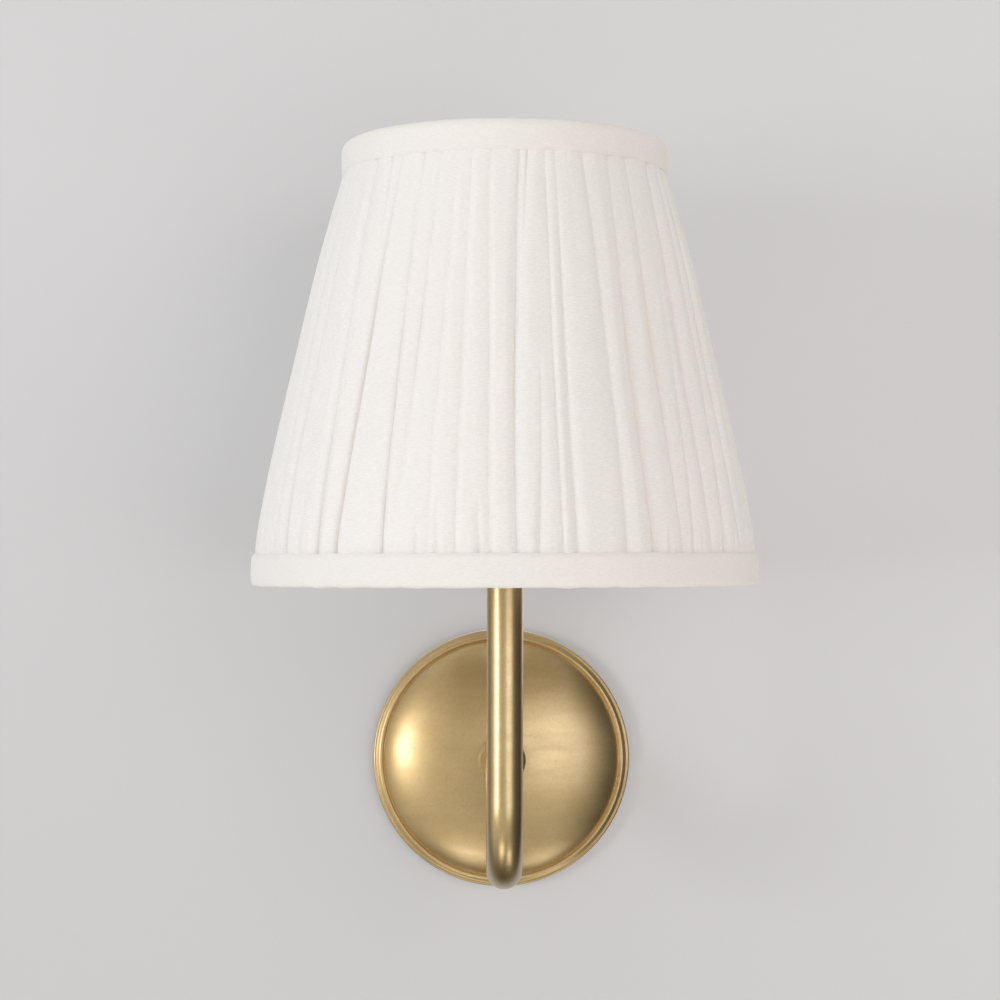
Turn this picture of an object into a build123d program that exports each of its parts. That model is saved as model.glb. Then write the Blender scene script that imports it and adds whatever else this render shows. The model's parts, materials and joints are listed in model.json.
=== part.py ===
"""Wall light: a domed plate, a bent tube arm and a gathered fabric shade on a small screw lampholder.

Millimetres. X is to the right, Y goes into the wall, Z is up. The wall is the plane y = 0, the lamp
stands in front of it on the -Y side, and the origin is the centre of the wall plate on the wall.
"""
from build123d import *
import os
from math import asin, atan, cos, degrees, hypot, pi, radians, sin, sqrt, tan

# ---- Driving dimensions -------------------------------------------------------------------------

PROJECTION = 125.0          # wall to the upright axis of the leg, lampholder and shade
RUNNING_GAP = 0.1           # flat faces that rest on each other
TURNING_GAP = 0.3           # threads that turn in each other

# Wall plate
PLATE_R = 62.5
PLATE_SHEET = 1.2
DOME_EDGE_R = 56.6          # where the dome meets the bead
DOME_RUN = 60.0             # half axes of the dome's elliptical section
DOME_RISE = 22.0
PLATE_SEAT_R = 11.7         # flat middle that the arm collar sits on
LIP_DEPTH = 6.2             # wall to the outer lip
GROOVE_DEPTH = 5.9
BEAD_DEPTH = 7.2
RIM_INNER_DEPTH = 4.7

# Arm
TUBE_R = 8.0
TUBE_WALL = 1.1
BEND_R = 32.0
ARM_DROP = 44.4             # arm axis at the wall to its lowest point
STUB_END = 29.0             # where the first bend starts, from the wall
TUBE_TOP = 97.0
COLLAR_R = 11.5
COLLAR_DEPTH = 4.5
NIPPLE_R = 5.0
NIPPLE_BORE_R = 3.6
FLEX_R = 2.8
CORE_R = 0.9

# Strap on the wall
STRAP_HALF_LENGTH = 52.0
STRAP_WIDTH = 16.0
STRAP_SHEET = 1.2
FIXING_SPACING = 60.0       # between the two wall screws
FIXING_HOLE_R = 2.25
SIDE_SCREW_DEPTH = 2.9      # wall to the axis of the side screws
SIDE_SCREW_R = 1.5

# Terminal block
BLOCK_WIDTH = 29.0
BLOCK_TOP = -17.0
BLOCK_HEIGHT = 17.0
BLOCK_DEPTH = 12.0
POLE_SPACING = 9.5
BLOCK_SCREW_X = POLE_SPACING / 2
BLOCK_SCREW_R = 1.4
BLOCK_MIDDLE_Z = BLOCK_TOP - BLOCK_HEIGHT / 2
SLOT_WIDTH = 0.6            # screwdriver slots of the small screws
THREAD_FIT = 0.02           # a screw or plug in its threaded hole

# Lampholder, heights above the origin
BASE_CAP_BOTTOM = 98.2
BASE_CAP_TOP = 114.0
FLANGE_TOP = 118.0
HOLDER_TOP = 150.0
HOLDER_R = 13.5
CARRIER_SHEET = 1.5
SHADE_RING_HEIGHT = 6.0

# Bulb
BULB_R = 22.5
BULB_LENGTH = 78.0
BULB_BOTTOM = 129.2
CAP_TOP = 150.0
GLASS = 0.7

# Shade
SHADE_BOTTOM = 85.5
SHADE_TOP = 279.3
BOTTOM_SEAM = 99.5
TOP_SEAM = 265.6
BOTTOM_BINDING_R = 111.7
TOP_BINDING_R = 72.3
FRAME_BOTTOM_Z = 92.0       # centre of the lower ring wire
FRAME_TOP_Z = 273.5         # centre of the upper ring wire
FRAME_BOTTOM_R = 106.5
FRAME_SLOPE = 0.21875       # inward lean of the frame, mm per mm of height
RING_WIRE_R = 1.5
STRUT_WIRE_R = 1.2
COVER_OFFSET = 1.6          # frame line to the inside of the pleated cover
LINING_OFFSET = 1.7         # frame line to the outside of the lining
LINING_SHEET = 0.7
STRUTS = 6
SPOKES = 3

# ---- Planes, axes and small helpers -------------------------------------------------------------

LAMP_AXIS = Axis((0, -PROJECTION, 0), (0, 0, 1))
LAMP_SECTION = Plane.XZ.offset(PROJECTION)                      # local x is radius, local y is height
ARM_PLANE = Plane(origin=(0, 0, 0), x_dir=(0, -1, 0), z_dir=(-1, 0, 0))   # local x is out, y is up


def at_lamp(height):
    """Level plane on the lamp axis."""
    return Plane(origin=(0, -PROJECTION, height), x_dir=(1, 0, 0), z_dir=(0, 0, 1))


def at_wall(distance):
    """Plane parallel to the wall, facing the room."""
    return Plane.XZ.offset(distance)


def across_at(side, distance):
    """Plane that faces left (-1) or right (1), at a distance from the middle."""
    return Plane(origin=(side * distance, 0, 0), x_dir=(0, 1, 0), z_dir=(side, 0, 0))


def frame_radius(height):
    """Centre line of the shade's wire frame."""
    return FRAME_BOTTOM_R - FRAME_SLOPE * (height - FRAME_BOTTOM_Z)


def shade_point(radius, azimuth):
    """Point of a level section, with the azimuth in degrees from the front towards +X."""
    return (radius * sin(radians(azimuth)), -radius * cos(radians(azimuth)))


def thread_points(crest, root, low, high, pitch):
    """Half section of a thread drawn as level ridges, from low to high."""
    turns = int((high - low) / pitch)
    points = []
    for turn in range(turns):
        start = low + turn * pitch
        points += [(crest, start), (crest, start + 0.3 * pitch)]
        points += [(root, start + 0.5 * pitch), (root, start + 0.8 * pitch)]
    points.append((crest, low + turns * pitch))
    return points


def dome_depth(radius, run, rise):
    """Depth of the elliptical dome at a radius."""
    return rise * sqrt(1 - (radius / run) ** 2)


# ---- Wall plate ---------------------------------------------------------------------------------

DOME_INNER_RUN = DOME_RUN - PLATE_SHEET
DOME_INNER_RISE = DOME_RISE - PLATE_SHEET
SEAT_DEPTH = dome_depth(PLATE_SEAT_R, DOME_RUN, DOME_RISE)
SEAT_INNER_DEPTH = SEAT_DEPTH - PLATE_SHEET
SEAT_INNER_R = DOME_INNER_RUN * sqrt(1 - (SEAT_INNER_DEPTH / DOME_INNER_RISE) ** 2)
DOME_INNER_EDGE_R = DOME_EDGE_R - 1.0


def dome_arc(run, rise, edge_r, seat_r, seat_depth):
    """Outline of the dome from its edge to its seat, a smooth curve through points of the ellipse."""
    radii = [edge_r, edge_r - 3, edge_r - 9, edge_r - 19, edge_r - 31]
    points = [(radius, -dome_depth(radius, run, rise)) for radius in radii]
    points.append((seat_r, -seat_depth))
    return Spline(*points)


with BuildPart() as wall_plate:
    with BuildSketch(Plane.XY):
        with BuildLine():
            rim = Polyline(
                (PLATE_R, 0),
                (PLATE_R, -LIP_DEPTH + 0.6),
                (PLATE_R - 0.6, -LIP_DEPTH),
                (PLATE_R - 1.0, -LIP_DEPTH),
                (PLATE_R - 1.3, -GROOVE_DEPTH),
                (PLATE_R - 1.7, -GROOVE_DEPTH),
            )
            bead = ThreePointArc(rim @ 1, (PLATE_R - 3.6, -BEAD_DEPTH), (PLATE_R - 4.9, -GROOVE_DEPTH - 0.3))
            valley = Polyline(
                bead @ 1,
                (PLATE_R - 5.4, -GROOVE_DEPTH - 0.3),
                (DOME_EDGE_R, -dome_depth(DOME_EDGE_R, DOME_RUN, DOME_RISE)),
            )
            outside = dome_arc(DOME_RUN, DOME_RISE, DOME_EDGE_R, PLATE_SEAT_R, SEAT_DEPTH)
            hole_edge = Polyline(
                outside @ 1,
                (NIPPLE_R + 0.2, -SEAT_DEPTH),
                (NIPPLE_R + 0.2, -SEAT_INNER_DEPTH),
                (SEAT_INNER_R, -SEAT_INNER_DEPTH),
            )
            inside = dome_arc(
                DOME_INNER_RUN, DOME_INNER_RISE, DOME_INNER_EDGE_R, SEAT_INNER_R, SEAT_INNER_DEPTH
            )
            Polyline(
                inside @ 0,
                (DOME_EDGE_R, -RIM_INNER_DEPTH - 0.3),
                (PLATE_R - PLATE_SHEET, -RIM_INNER_DEPTH),
                (PLATE_R - PLATE_SHEET, 0),
                (PLATE_R, 0),
            )
        make_face()
    revolve(axis=Axis.Y)
    for side in (-1, 1):
        with BuildSketch(across_at(side, PLATE_R - 4)):
            with Locations((-SIDE_SCREW_DEPTH, 0)):
                Circle(SIDE_SCREW_R + 0.2)
        extrude(amount=6, mode=Mode.SUBTRACT)
wall_plate.part.label = "wall_plate"

# ---- Strap, its screws and the terminal block ---------------------------------------------------

EAR_DEPTH = 8.0
EAR_WIDTH = 12.0
TAB_BOTTOM = -36.0
CABLE_HOLE_R = 4.0

with BuildPart() as mounting_strap:
    with BuildSketch(at_wall(0)):
        Rectangle(2 * STRAP_HALF_LENGTH, STRAP_WIDTH)
        with Locations((0, TAB_BOTTOM / 2)):
            Rectangle(STRAP_WIDTH, -TAB_BOTTOM)
        with Locations((-FIXING_SPACING / 2, 0), (FIXING_SPACING / 2, 0)):
            Circle(FIXING_HOLE_R, mode=Mode.SUBTRACT)
        Circle(CABLE_HOLE_R, mode=Mode.SUBTRACT)
        with Locations((BLOCK_SCREW_X, BLOCK_MIDDLE_Z)):
            Circle(BLOCK_SCREW_R + THREAD_FIT, mode=Mode.SUBTRACT)
    extrude(amount=STRAP_SHEET)
    for side in (-1, 1):
        with BuildSketch(at_wall(STRAP_SHEET)):
            with Locations((side * (STRAP_HALF_LENGTH - STRAP_SHEET / 2), 0)):
                Rectangle(STRAP_SHEET, EAR_WIDTH)
        extrude(amount=EAR_DEPTH - STRAP_SHEET)
        with BuildSketch(across_at(side, STRAP_HALF_LENGTH - 3)):
            with Locations((-SIDE_SCREW_DEPTH, 0)):
                Circle(SIDE_SCREW_R + THREAD_FIT)
        extrude(amount=6, mode=Mode.SUBTRACT)
    fillet(mounting_strap.edges().filter_by(Axis.Y).group_by(Axis.Z)[0], radius=2)
mounting_strap.part.label = "mounting_strap"

SIDE_SCREW_START = STRAP_HALF_LENGTH - 2.5
SIDE_SCREW_END = PLATE_R - 0.2

with BuildPart() as plate_side_screws:
    for side in (-1, 1):
        with BuildSketch(across_at(side, SIDE_SCREW_START)):
            with Locations((-SIDE_SCREW_DEPTH, 0)):
                Circle(SIDE_SCREW_R)
        extrude(amount=SIDE_SCREW_END - SIDE_SCREW_START)
        with BuildSketch(across_at(side, SIDE_SCREW_END - 1)):
            with Locations((-SIDE_SCREW_DEPTH, 0)):
                Rectangle(SLOT_WIDTH, 4)
        extrude(amount=2, mode=Mode.SUBTRACT)
plate_side_screws.part.label = "plate_side_screws"

EARTH_X = 17.0
TAG_SHEET = 0.8
TAG_BARREL_R = 1.9          # barrel that is crimped on the earth lead
TAG_BARREL_Z = -11.5
EARTH_SCREW_R = 2.0
EARTH_HEAD_R = 3.6
EARTH_HEAD_HEIGHT = 2.4

with BuildPart() as earth_tag:
    with BuildSketch(at_wall(STRAP_SHEET)):
        with Locations((EARTH_X, 0)):
            Circle(3.8)
        with Locations((EARTH_X, -5)):
            Rectangle(2.6, 6)
        with Locations((EARTH_X, 0)):
            Circle(EARTH_SCREW_R + 0.1, mode=Mode.SUBTRACT)
    extrude(amount=TAG_SHEET)
    with BuildSketch(Plane.XY.offset(TAG_BARREL_Z)):
        with Locations((EARTH_X, -STRAP_SHEET - TAG_BARREL_R)):
            Circle(TAG_BARREL_R)
            Circle(CORE_R + THREAD_FIT, mode=Mode.SUBTRACT)
    extrude(amount=4.5)
earth_tag.part.label = "earth_tag"

with BuildPart() as earth_screw:
    with BuildSketch(at_wall(STRAP_SHEET + TAG_SHEET)):
        with Locations((EARTH_X, 0)):
            Circle(EARTH_HEAD_R)
    extrude(amount=EARTH_HEAD_HEIGHT)
    fillet(earth_screw.edges().sort_by(Axis.Y)[0], radius=1)
    with BuildSketch(at_wall(STRAP_SHEET)):
        with Locations((EARTH_X, 0)):
            Circle(EARTH_SCREW_R)
    extrude(amount=TAG_SHEET)
    with BuildSketch(at_wall(STRAP_SHEET + TAG_SHEET + EARTH_HEAD_HEIGHT / 2)):
        with Locations((EARTH_X, 0)):
            Rectangle(SLOT_WIDTH, 2 * EARTH_HEAD_R)
            Rectangle(2 * EARTH_HEAD_R, SLOT_WIDTH)
    extrude(amount=EARTH_HEAD_HEIGHT, mode=Mode.SUBTRACT)
earth_screw.part.label = "earth_screw"

BLOCK_BACK = STRAP_SHEET
SCREW_ROWS = 8.0            # between the two screws of a pole
SCREW_WELL = 3.5
TERMINAL_SCREW_R = 1.95
SLEEVE_R = 2.15
SLEEVE_BORE_R = 1.3
CORE_ENTRY_DEPTH = 8.0      # wall to the cores where they enter the block

with BuildPart() as terminal_block:
    with BuildSketch(at_wall(BLOCK_BACK)):
        with Locations((0, BLOCK_MIDDLE_Z)):
            Rectangle(BLOCK_WIDTH, BLOCK_HEIGHT)
        with Locations((BLOCK_SCREW_X, BLOCK_MIDDLE_Z)):
            Circle(BLOCK_SCREW_R + 0.2, mode=Mode.SUBTRACT)
    extrude(amount=BLOCK_DEPTH)
    fillet(terminal_block.edges().filter_by(Axis.Z), radius=1.5)
    with BuildSketch(at_wall(BLOCK_BACK + BLOCK_DEPTH)):
        with Locations((0, BLOCK_MIDDLE_Z)):
            with GridLocations(POLE_SPACING, SCREW_ROWS, 3, 2):
                Circle(TERMINAL_SCREW_R + 0.15)
    extrude(amount=-SCREW_WELL, mode=Mode.SUBTRACT)
    with BuildSketch(Plane.XY.offset(BLOCK_TOP)):
        with Locations((0, -CORE_ENTRY_DEPTH)):
            with GridLocations(POLE_SPACING, 1, 3, 1):
                Circle(SLEEVE_R + 0.05)
    extrude(amount=-BLOCK_HEIGHT, mode=Mode.SUBTRACT)
terminal_block.part.label = "terminal_block"

with BuildPart() as terminal_sleeves:
    with BuildSketch(Plane.XY.offset(BLOCK_TOP - 2)):
        with Locations((0, -CORE_ENTRY_DEPTH)):
            with GridLocations(POLE_SPACING, 1, 3, 1):
                Circle(SLEEVE_R)
                Circle(SLEEVE_BORE_R, mode=Mode.SUBTRACT)
    extrude(amount=-BLOCK_HEIGHT + 4)
terminal_sleeves.part.label = "terminal_sleeves"

with BuildPart() as terminal_screws:
    with BuildSketch(at_wall(CORE_ENTRY_DEPTH + 2.2)):
        with Locations((0, BLOCK_MIDDLE_Z)):
            with GridLocations(POLE_SPACING, SCREW_ROWS, 3, 2):
                Circle(TERMINAL_SCREW_R)
    extrude(amount=2.4)
    with BuildSketch(at_wall(CORE_ENTRY_DEPTH + 3.8)):
        with Locations((0, BLOCK_MIDDLE_Z)):
            with GridLocations(POLE_SPACING, SCREW_ROWS, 3, 2):
                Rectangle(SLOT_WIDTH, 4.4)
    extrude(amount=2, mode=Mode.SUBTRACT)
terminal_screws.part.label = "terminal_screws"

with BuildPart() as block_screw:
    with BuildSketch(at_wall(0.2)):
        with Locations((BLOCK_SCREW_X, BLOCK_MIDDLE_Z)):
            Circle(BLOCK_SCREW_R)
    extrude(amount=BLOCK_BACK + BLOCK_DEPTH - 0.2)
    with BuildSketch(at_wall(BLOCK_BACK + BLOCK_DEPTH)):
        with Locations((BLOCK_SCREW_X, BLOCK_MIDDLE_Z)):
            Circle(BLOCK_SCREW_R + 1)
    extrude(amount=1.4)
    with BuildSketch(at_wall(BLOCK_BACK + BLOCK_DEPTH + 0.6)):
        with Locations((BLOCK_SCREW_X, BLOCK_MIDDLE_Z)):
            Rectangle(SLOT_WIDTH, 6)
    extrude(amount=2, mode=Mode.SUBTRACT)
block_screw.part.label = "block_screw"

# ---- Arm ----------------------------------------------------------------------------------------

# The tube leaves the wall level, bends down, runs straight and turns up into the leg. Both bends
# have one radius, and the slope follows from the projection and the drop.
REACH = PROJECTION - STUB_END - BEND_R
CHORD = hypot(REACH, 2 * BEND_R - ARM_DROP)
ARM_SLOPE = asin(2 * BEND_R / CHORD) - atan((2 * BEND_R - ARM_DROP) / REACH)
FIRST_CORNER = STUB_END + BEND_R * tan(ARM_SLOPE / 2)
SECOND_CORNER_Z = -(PROJECTION - FIRST_CORNER) * tan(ARM_SLOPE)
TUBE_START = SEAT_DEPTH + 0.02
TUBE_BORE_R = TUBE_R - TUBE_WALL
print(f"arm slopes down {degrees(ARM_SLOPE):.1f} degrees, lowest axis point {-ARM_DROP:.1f}")

with BuildPart() as arm_tube:
    with BuildLine(ARM_PLANE):
        arm_path = FilletPolyline(
            (TUBE_START, 0),
            (FIRST_CORNER, 0),
            (PROJECTION, SECOND_CORNER_Z),
            (PROJECTION, TUBE_TOP),
            radius=BEND_R,
        )
    with BuildSketch(Plane(origin=arm_path @ 0, x_dir=(1, 0, 0), z_dir=arm_path % 0)):
        Circle(TUBE_R)
        Circle(TUBE_BORE_R, mode=Mode.SUBTRACT)
    sweep(path=arm_path)
arm_tube.part.label = "arm_tube"

with BuildPart() as arm_collar:
    with BuildSketch(Plane.XY):
        with BuildLine():
            Polyline(
                (TUBE_R + 0.03, -SEAT_DEPTH - 0.02),
                (COLLAR_R, -SEAT_DEPTH - 0.02),
                (COLLAR_R, -SEAT_DEPTH - COLLAR_DEPTH + 1.2),
                (COLLAR_R - 1.3, -SEAT_DEPTH - COLLAR_DEPTH),
                (TUBE_R + 0.03, -SEAT_DEPTH - COLLAR_DEPTH),
                close=True,
            )
        make_face()
    revolve(axis=Axis.Y)
arm_collar.part.label = "arm_collar"

PLUG_LENGTH = 12.0
WALL_PLUG_LENGTH = 7.0      # kept within the straight stub before the first bend
WASHER_SHEET = 1.0
NUT_HEIGHT = 4.0
NIPPLE_BACK = 12.0          # wall to the back end of the wall nipple

with BuildPart() as arm_wall_plug:
    with BuildSketch(at_wall(TUBE_START)):
        Circle(TUBE_BORE_R - THREAD_FIT)
        Circle(NIPPLE_R + THREAD_FIT, mode=Mode.SUBTRACT)
    extrude(amount=WALL_PLUG_LENGTH)
arm_wall_plug.part.label = "arm_wall_plug"

with BuildPart() as wall_nipple:
    with BuildSketch(at_wall(NIPPLE_BACK)):
        Circle(NIPPLE_R)
        Circle(NIPPLE_BORE_R, mode=Mode.SUBTRACT)
    extrude(amount=TUBE_START + WALL_PLUG_LENGTH - NIPPLE_BACK)
    chamfer(wall_nipple.edges().group_by(Axis.Y)[-1], length=0.4)
wall_nipple.part.label = "wall_nipple"

with BuildPart() as lock_washer:
    with BuildSketch(at_wall(SEAT_INNER_DEPTH - 0.02)):
        Circle(9.0)
        Circle(NIPPLE_R + 0.2, mode=Mode.SUBTRACT)
        with PolarLocations(9.0, 12):
            Rectangle(1.2, 1.0, mode=Mode.SUBTRACT)
    extrude(amount=-WASHER_SHEET)
lock_washer.part.label = "lock_washer"

with BuildPart() as lock_nut:
    with BuildSketch(at_wall(SEAT_INNER_DEPTH - WASHER_SHEET - 0.04)):
        RegularPolygon(7.0, 6, major_radius=False)
        Circle(NIPPLE_R + THREAD_FIT, mode=Mode.SUBTRACT)
    extrude(amount=-NUT_HEIGHT)
lock_nut.part.label = "lock_nut"

with BuildPart() as arm_top_plug:
    with BuildSketch(at_lamp(TUBE_TOP - PLUG_LENGTH)):
        Circle(TUBE_BORE_R - THREAD_FIT)
        Circle(NIPPLE_R + THREAD_FIT, mode=Mode.SUBTRACT)
    extrude(amount=PLUG_LENGTH)
arm_top_plug.part.label = "arm_top_plug"

TOP_NIPPLE_TOP = 105.5

with BuildPart() as top_nipple:
    with BuildSketch(at_lamp(TUBE_TOP - PLUG_LENGTH)):
        Circle(NIPPLE_R)
        Circle(NIPPLE_BORE_R, mode=Mode.SUBTRACT)
    extrude(amount=TOP_NIPPLE_TOP - TUBE_TOP + PLUG_LENGTH)
    chamfer(top_nipple.edges().group_by(Axis.Z)[-1], length=0.4)
top_nipple.part.label = "top_nipple"

# ---- Cable inside the arm -----------------------------------------------------------------------

FLEX_WALL_END = -8.5
FLEX_TOP = 107.0
WALL_TURN_R = 6.0

with BuildPart() as flex_cable:
    with BuildLine(ARM_PLANE):
        flex_path = FilletPolyline(
            (CORE_ENTRY_DEPTH, FLEX_WALL_END),
            (CORE_ENTRY_DEPTH, 0),
            (FIRST_CORNER, 0),
            (PROJECTION, SECOND_CORNER_Z),
            (PROJECTION, FLEX_TOP),
            radius=(WALL_TURN_R, BEND_R, BEND_R),
        )
    with BuildSketch(Plane(origin=flex_path @ 0, x_dir=(1, 0, 0), z_dir=flex_path % 0)):
        Circle(FLEX_R)
    sweep(path=flex_path)
flex_cable.part.label = "flex_cable"
flex_expected = pi * FLEX_R ** 2 * flex_path.length
print(f"flex inside the arm: length {flex_path.length:.0f}")
print(f"flex volume against its length: {flex_cable.part.volume / flex_expected:.3f}")
print(f"flex bend radii: {WALL_TURN_R}, {BEND_R}, {BEND_R}")

CORE_START_X = FLEX_R - CORE_R
WALL_CORE_BEND_R = 2.5
CORE_END_Z = BLOCK_TOP - 1.5

with BuildPart() as wall_end_cores:
    with BuildSketch(Plane.XY.offset(FLEX_WALL_END)):
        with Locations((0, -CORE_ENTRY_DEPTH)):
            Circle(CORE_R)
    extrude(amount=CORE_END_Z - FLEX_WALL_END)
    for side in (-1, 1):
        with BuildLine(at_wall(CORE_ENTRY_DEPTH)):
            core_path = FilletPolyline(
                (side * CORE_START_X, FLEX_WALL_END),
                (side * CORE_START_X, FLEX_WALL_END - 2.5),
                (side * POLE_SPACING, BLOCK_TOP + 3),
                (side * POLE_SPACING, CORE_END_Z),
                radius=WALL_CORE_BEND_R,
            )
        with BuildSketch(Plane(origin=core_path @ 0, x_dir=(1, 0, 0), z_dir=core_path % 0)):
            Circle(CORE_R)
        sweep(path=core_path)
wall_end_cores.part.label = "wall_end_cores"

with BuildPart() as earth_lead:
    with BuildLine():
        lead_path = FilletPolyline(
            (EARTH_X, -STRAP_SHEET - TAG_BARREL_R, -8),
            (EARTH_X, -STRAP_SHEET - TAG_BARREL_R, -20),
            (EARTH_X + 1.5, -6, -39.5),
            (POLE_SPACING + 0.5, -CORE_ENTRY_DEPTH, -41),
            (POLE_SPACING, -CORE_ENTRY_DEPTH, BLOCK_TOP - BLOCK_HEIGHT + 1.5),
            radius=(12, 3, 3),
        )
    with BuildSketch(Plane(origin=lead_path @ 0, x_dir=(1, 0, 0), z_dir=lead_path % 0)):
        Circle(CORE_R)
    sweep(path=lead_path)
earth_lead.part.label = "earth_lead"

LAMP_CORE_X = 1.1           # the two cores where they leave the cable
CONTACT_X = 5.0
INSERT_BOTTOM = 116.0
SCREW_HEAD = 3.0
SCREW_HEAD_R = 2.3

with BuildPart() as lamp_end_cores:
    for side in (-1, 1):
        with BuildLine(LAMP_SECTION):
            core_path = FilletPolyline(
                (side * LAMP_CORE_X, FLEX_TOP),
                (side * LAMP_CORE_X, FLEX_TOP + 1.5),
                (side * CONTACT_X, FLEX_TOP + 4.2),
                (side * CONTACT_X, INSERT_BOTTOM - SCREW_HEAD - 0.05),
                radius=CORE_R + 0.1,
            )
        with BuildSketch(Plane(origin=core_path @ 0, x_dir=(1, 0, 0), z_dir=core_path % 0)):
            Circle(CORE_R)
        sweep(path=core_path)
lamp_end_cores.part.label = "lamp_end_cores"

# ---- Lampholder ---------------------------------------------------------------------------------

CUP_R = 14.5
CUP_SHEET = 0.6
CUP_TOP = 104.0
CUP_SHOULDER = 101.0

with BuildPart() as holder_cup:
    with BuildSketch(LAMP_SECTION):
        with BuildLine():
            Polyline(
                (NIPPLE_R + 0.1, TUBE_TOP + 0.05),
                (9.0, TUBE_TOP + 0.05),
                (CUP_R, CUP_SHOULDER),
                (CUP_R, CUP_TOP),
                (CUP_R - CUP_SHEET, CUP_TOP),
                (CUP_R - CUP_SHEET, CUP_SHOULDER + 0.4),
                (8.8, TUBE_TOP + 1.1),
                (NIPPLE_R + 0.1, TUBE_TOP + 1.1),
                close=True,
            )
        make_face()
    revolve(axis=LAMP_AXIS)
holder_cup.part.label = "holder_cup"

LOCK_SCREW_Z = 101.5
LOCK_SCREW_R = 1.25
LOCK_SCREW_PLANE = Plane(
    origin=(NIPPLE_R + 0.1, -PROJECTION, LOCK_SCREW_Z), x_dir=(0, 1, 0), z_dir=(1, 0, 0)
)

BASE_CAP_R = 13.0
BASE_CAP_WALL = 1.1
BASE_FLOOR_TOP = 104.5

with BuildPart() as holder_base_cap:
    with BuildSketch(LAMP_SECTION):
        with BuildLine():
            Polyline(
                (NIPPLE_R + 0.03, BASE_CAP_BOTTOM),
                (8.6, BASE_CAP_BOTTOM),
                (BASE_CAP_R - 0.4, 101.6),
                (BASE_CAP_R, 103.0),
                (BASE_CAP_R, BASE_CAP_TOP),
                (BASE_CAP_R - BASE_CAP_WALL, BASE_CAP_TOP),
                (BASE_CAP_R - BASE_CAP_WALL, BASE_FLOOR_TOP),
                (NIPPLE_R + 0.03, BASE_FLOOR_TOP),
                close=True,
            )
        make_face()
    revolve(axis=LAMP_AXIS)
    with BuildSketch(LOCK_SCREW_PLANE):
        Circle(LOCK_SCREW_R + THREAD_FIT)
    extrude(amount=10, mode=Mode.SUBTRACT)
holder_base_cap.part.label = "holder_base_cap"

with BuildPart() as holder_lock_screw:
    with BuildSketch(LOCK_SCREW_PLANE):
        Circle(LOCK_SCREW_R)
    extrude(amount=7)
    with BuildSketch(LOCK_SCREW_PLANE.offset(6)):
        Rectangle(SLOT_WIDTH, 4)
    extrude(amount=2, mode=Mode.SUBTRACT)
holder_lock_screw.part.label = "holder_lock_screw"

HOLDER_BORE_R = 11.0
BODY_FOOT = 108.0
FLANGE_R = 17.0
MOUTH_R = 8.6               # opening at the top of the holder
MOUTH_LIP = 1.6
THREAD_START = FLANGE_TOP + 1.0
RING_THREAD_PITCH = 2.5

with BuildPart() as holder_body:
    with BuildSketch(LAMP_SECTION):
        with BuildLine():
            Polyline(
                (HOLDER_BORE_R, BODY_FOOT),
                (HOLDER_BORE_R + 0.8, BODY_FOOT),
                (HOLDER_BORE_R + 0.8, BASE_CAP_TOP + 0.05),
                (BASE_CAP_R, BASE_CAP_TOP + 0.05),
                (FLANGE_R, FLANGE_TOP - 2),
                (FLANGE_R, FLANGE_TOP),
                (HOLDER_R, FLANGE_TOP),
                *thread_points(HOLDER_R, HOLDER_R - 0.6, THREAD_START, HOLDER_TOP - 1, RING_THREAD_PITCH),
                (HOLDER_R, HOLDER_TOP - 0.5),
                (HOLDER_R - 0.5, HOLDER_TOP),
                (MOUTH_R, HOLDER_TOP),
                (MOUTH_R, HOLDER_TOP - MOUTH_LIP),
                (HOLDER_BORE_R, HOLDER_TOP - MOUTH_LIP),
                close=True,
            )
        make_face()
    revolve(axis=LAMP_AXIS)
holder_body.part.label = "holder_body"

INSERT_FLOOR = 127.5
INSERT_TOP = HOLDER_TOP - MOUTH_LIP - RUNNING_GAP
SHELL_R = 8.1

with BuildPart() as holder_insert:
    with BuildSketch(at_lamp(INSERT_BOTTOM)):
        Circle(HOLDER_BORE_R - 0.1)
    extrude(amount=INSERT_TOP - INSERT_BOTTOM)
    with BuildSketch(at_lamp(INSERT_TOP)):
        Circle(SHELL_R + 0.05)
    extrude(amount=INSERT_FLOOR - INSERT_TOP, mode=Mode.SUBTRACT)
holder_insert.part.label = "holder_insert"

SHELL_BOTTOM = 130.0
SHELL_TOP = 147.5
THREAD_PITCH = 2.8
BULB_THREAD_R = 6.9

with BuildPart() as holder_thread_shell:
    with BuildSketch(LAMP_SECTION):
        with BuildLine():
            Polyline(
                (SHELL_R, SHELL_BOTTOM),
                *thread_points(BULB_THREAD_R + TURNING_GAP, BULB_THREAD_R + TURNING_GAP + 0.4,
                               SHELL_BOTTOM, SHELL_TOP, THREAD_PITCH),
                (BULB_THREAD_R + TURNING_GAP, SHELL_TOP),
                (SHELL_R, SHELL_TOP),
                close=True,
            )
        make_face()
    revolve(axis=LAMP_AXIS)
holder_thread_shell.part.label = "holder_thread_shell"

SPRING_RISE = 0.9
SPRING_SHEET = 0.5

with BuildPart() as holder_centre_contact:
    with BuildSketch(LAMP_SECTION):
        with BuildLine():
            Polyline(
                (-6.0, INSERT_FLOOR + THREAD_FIT),
                (-2.6, INSERT_FLOOR + THREAD_FIT),
                (-1.6, INSERT_FLOOR + SPRING_RISE),
                (2.4, INSERT_FLOOR + SPRING_RISE),
                (2.4, INSERT_FLOOR + SPRING_RISE + SPRING_SHEET),
                (-1.9, INSERT_FLOOR + SPRING_RISE + SPRING_SHEET),
                (-2.9, INSERT_FLOOR + THREAD_FIT + SPRING_SHEET),
                (-6.0, INSERT_FLOOR + THREAD_FIT + SPRING_SHEET),
                close=True,
            )
        make_face()
    extrude(amount=2, both=True)
holder_centre_contact.part.label = "holder_centre_contact"

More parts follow.
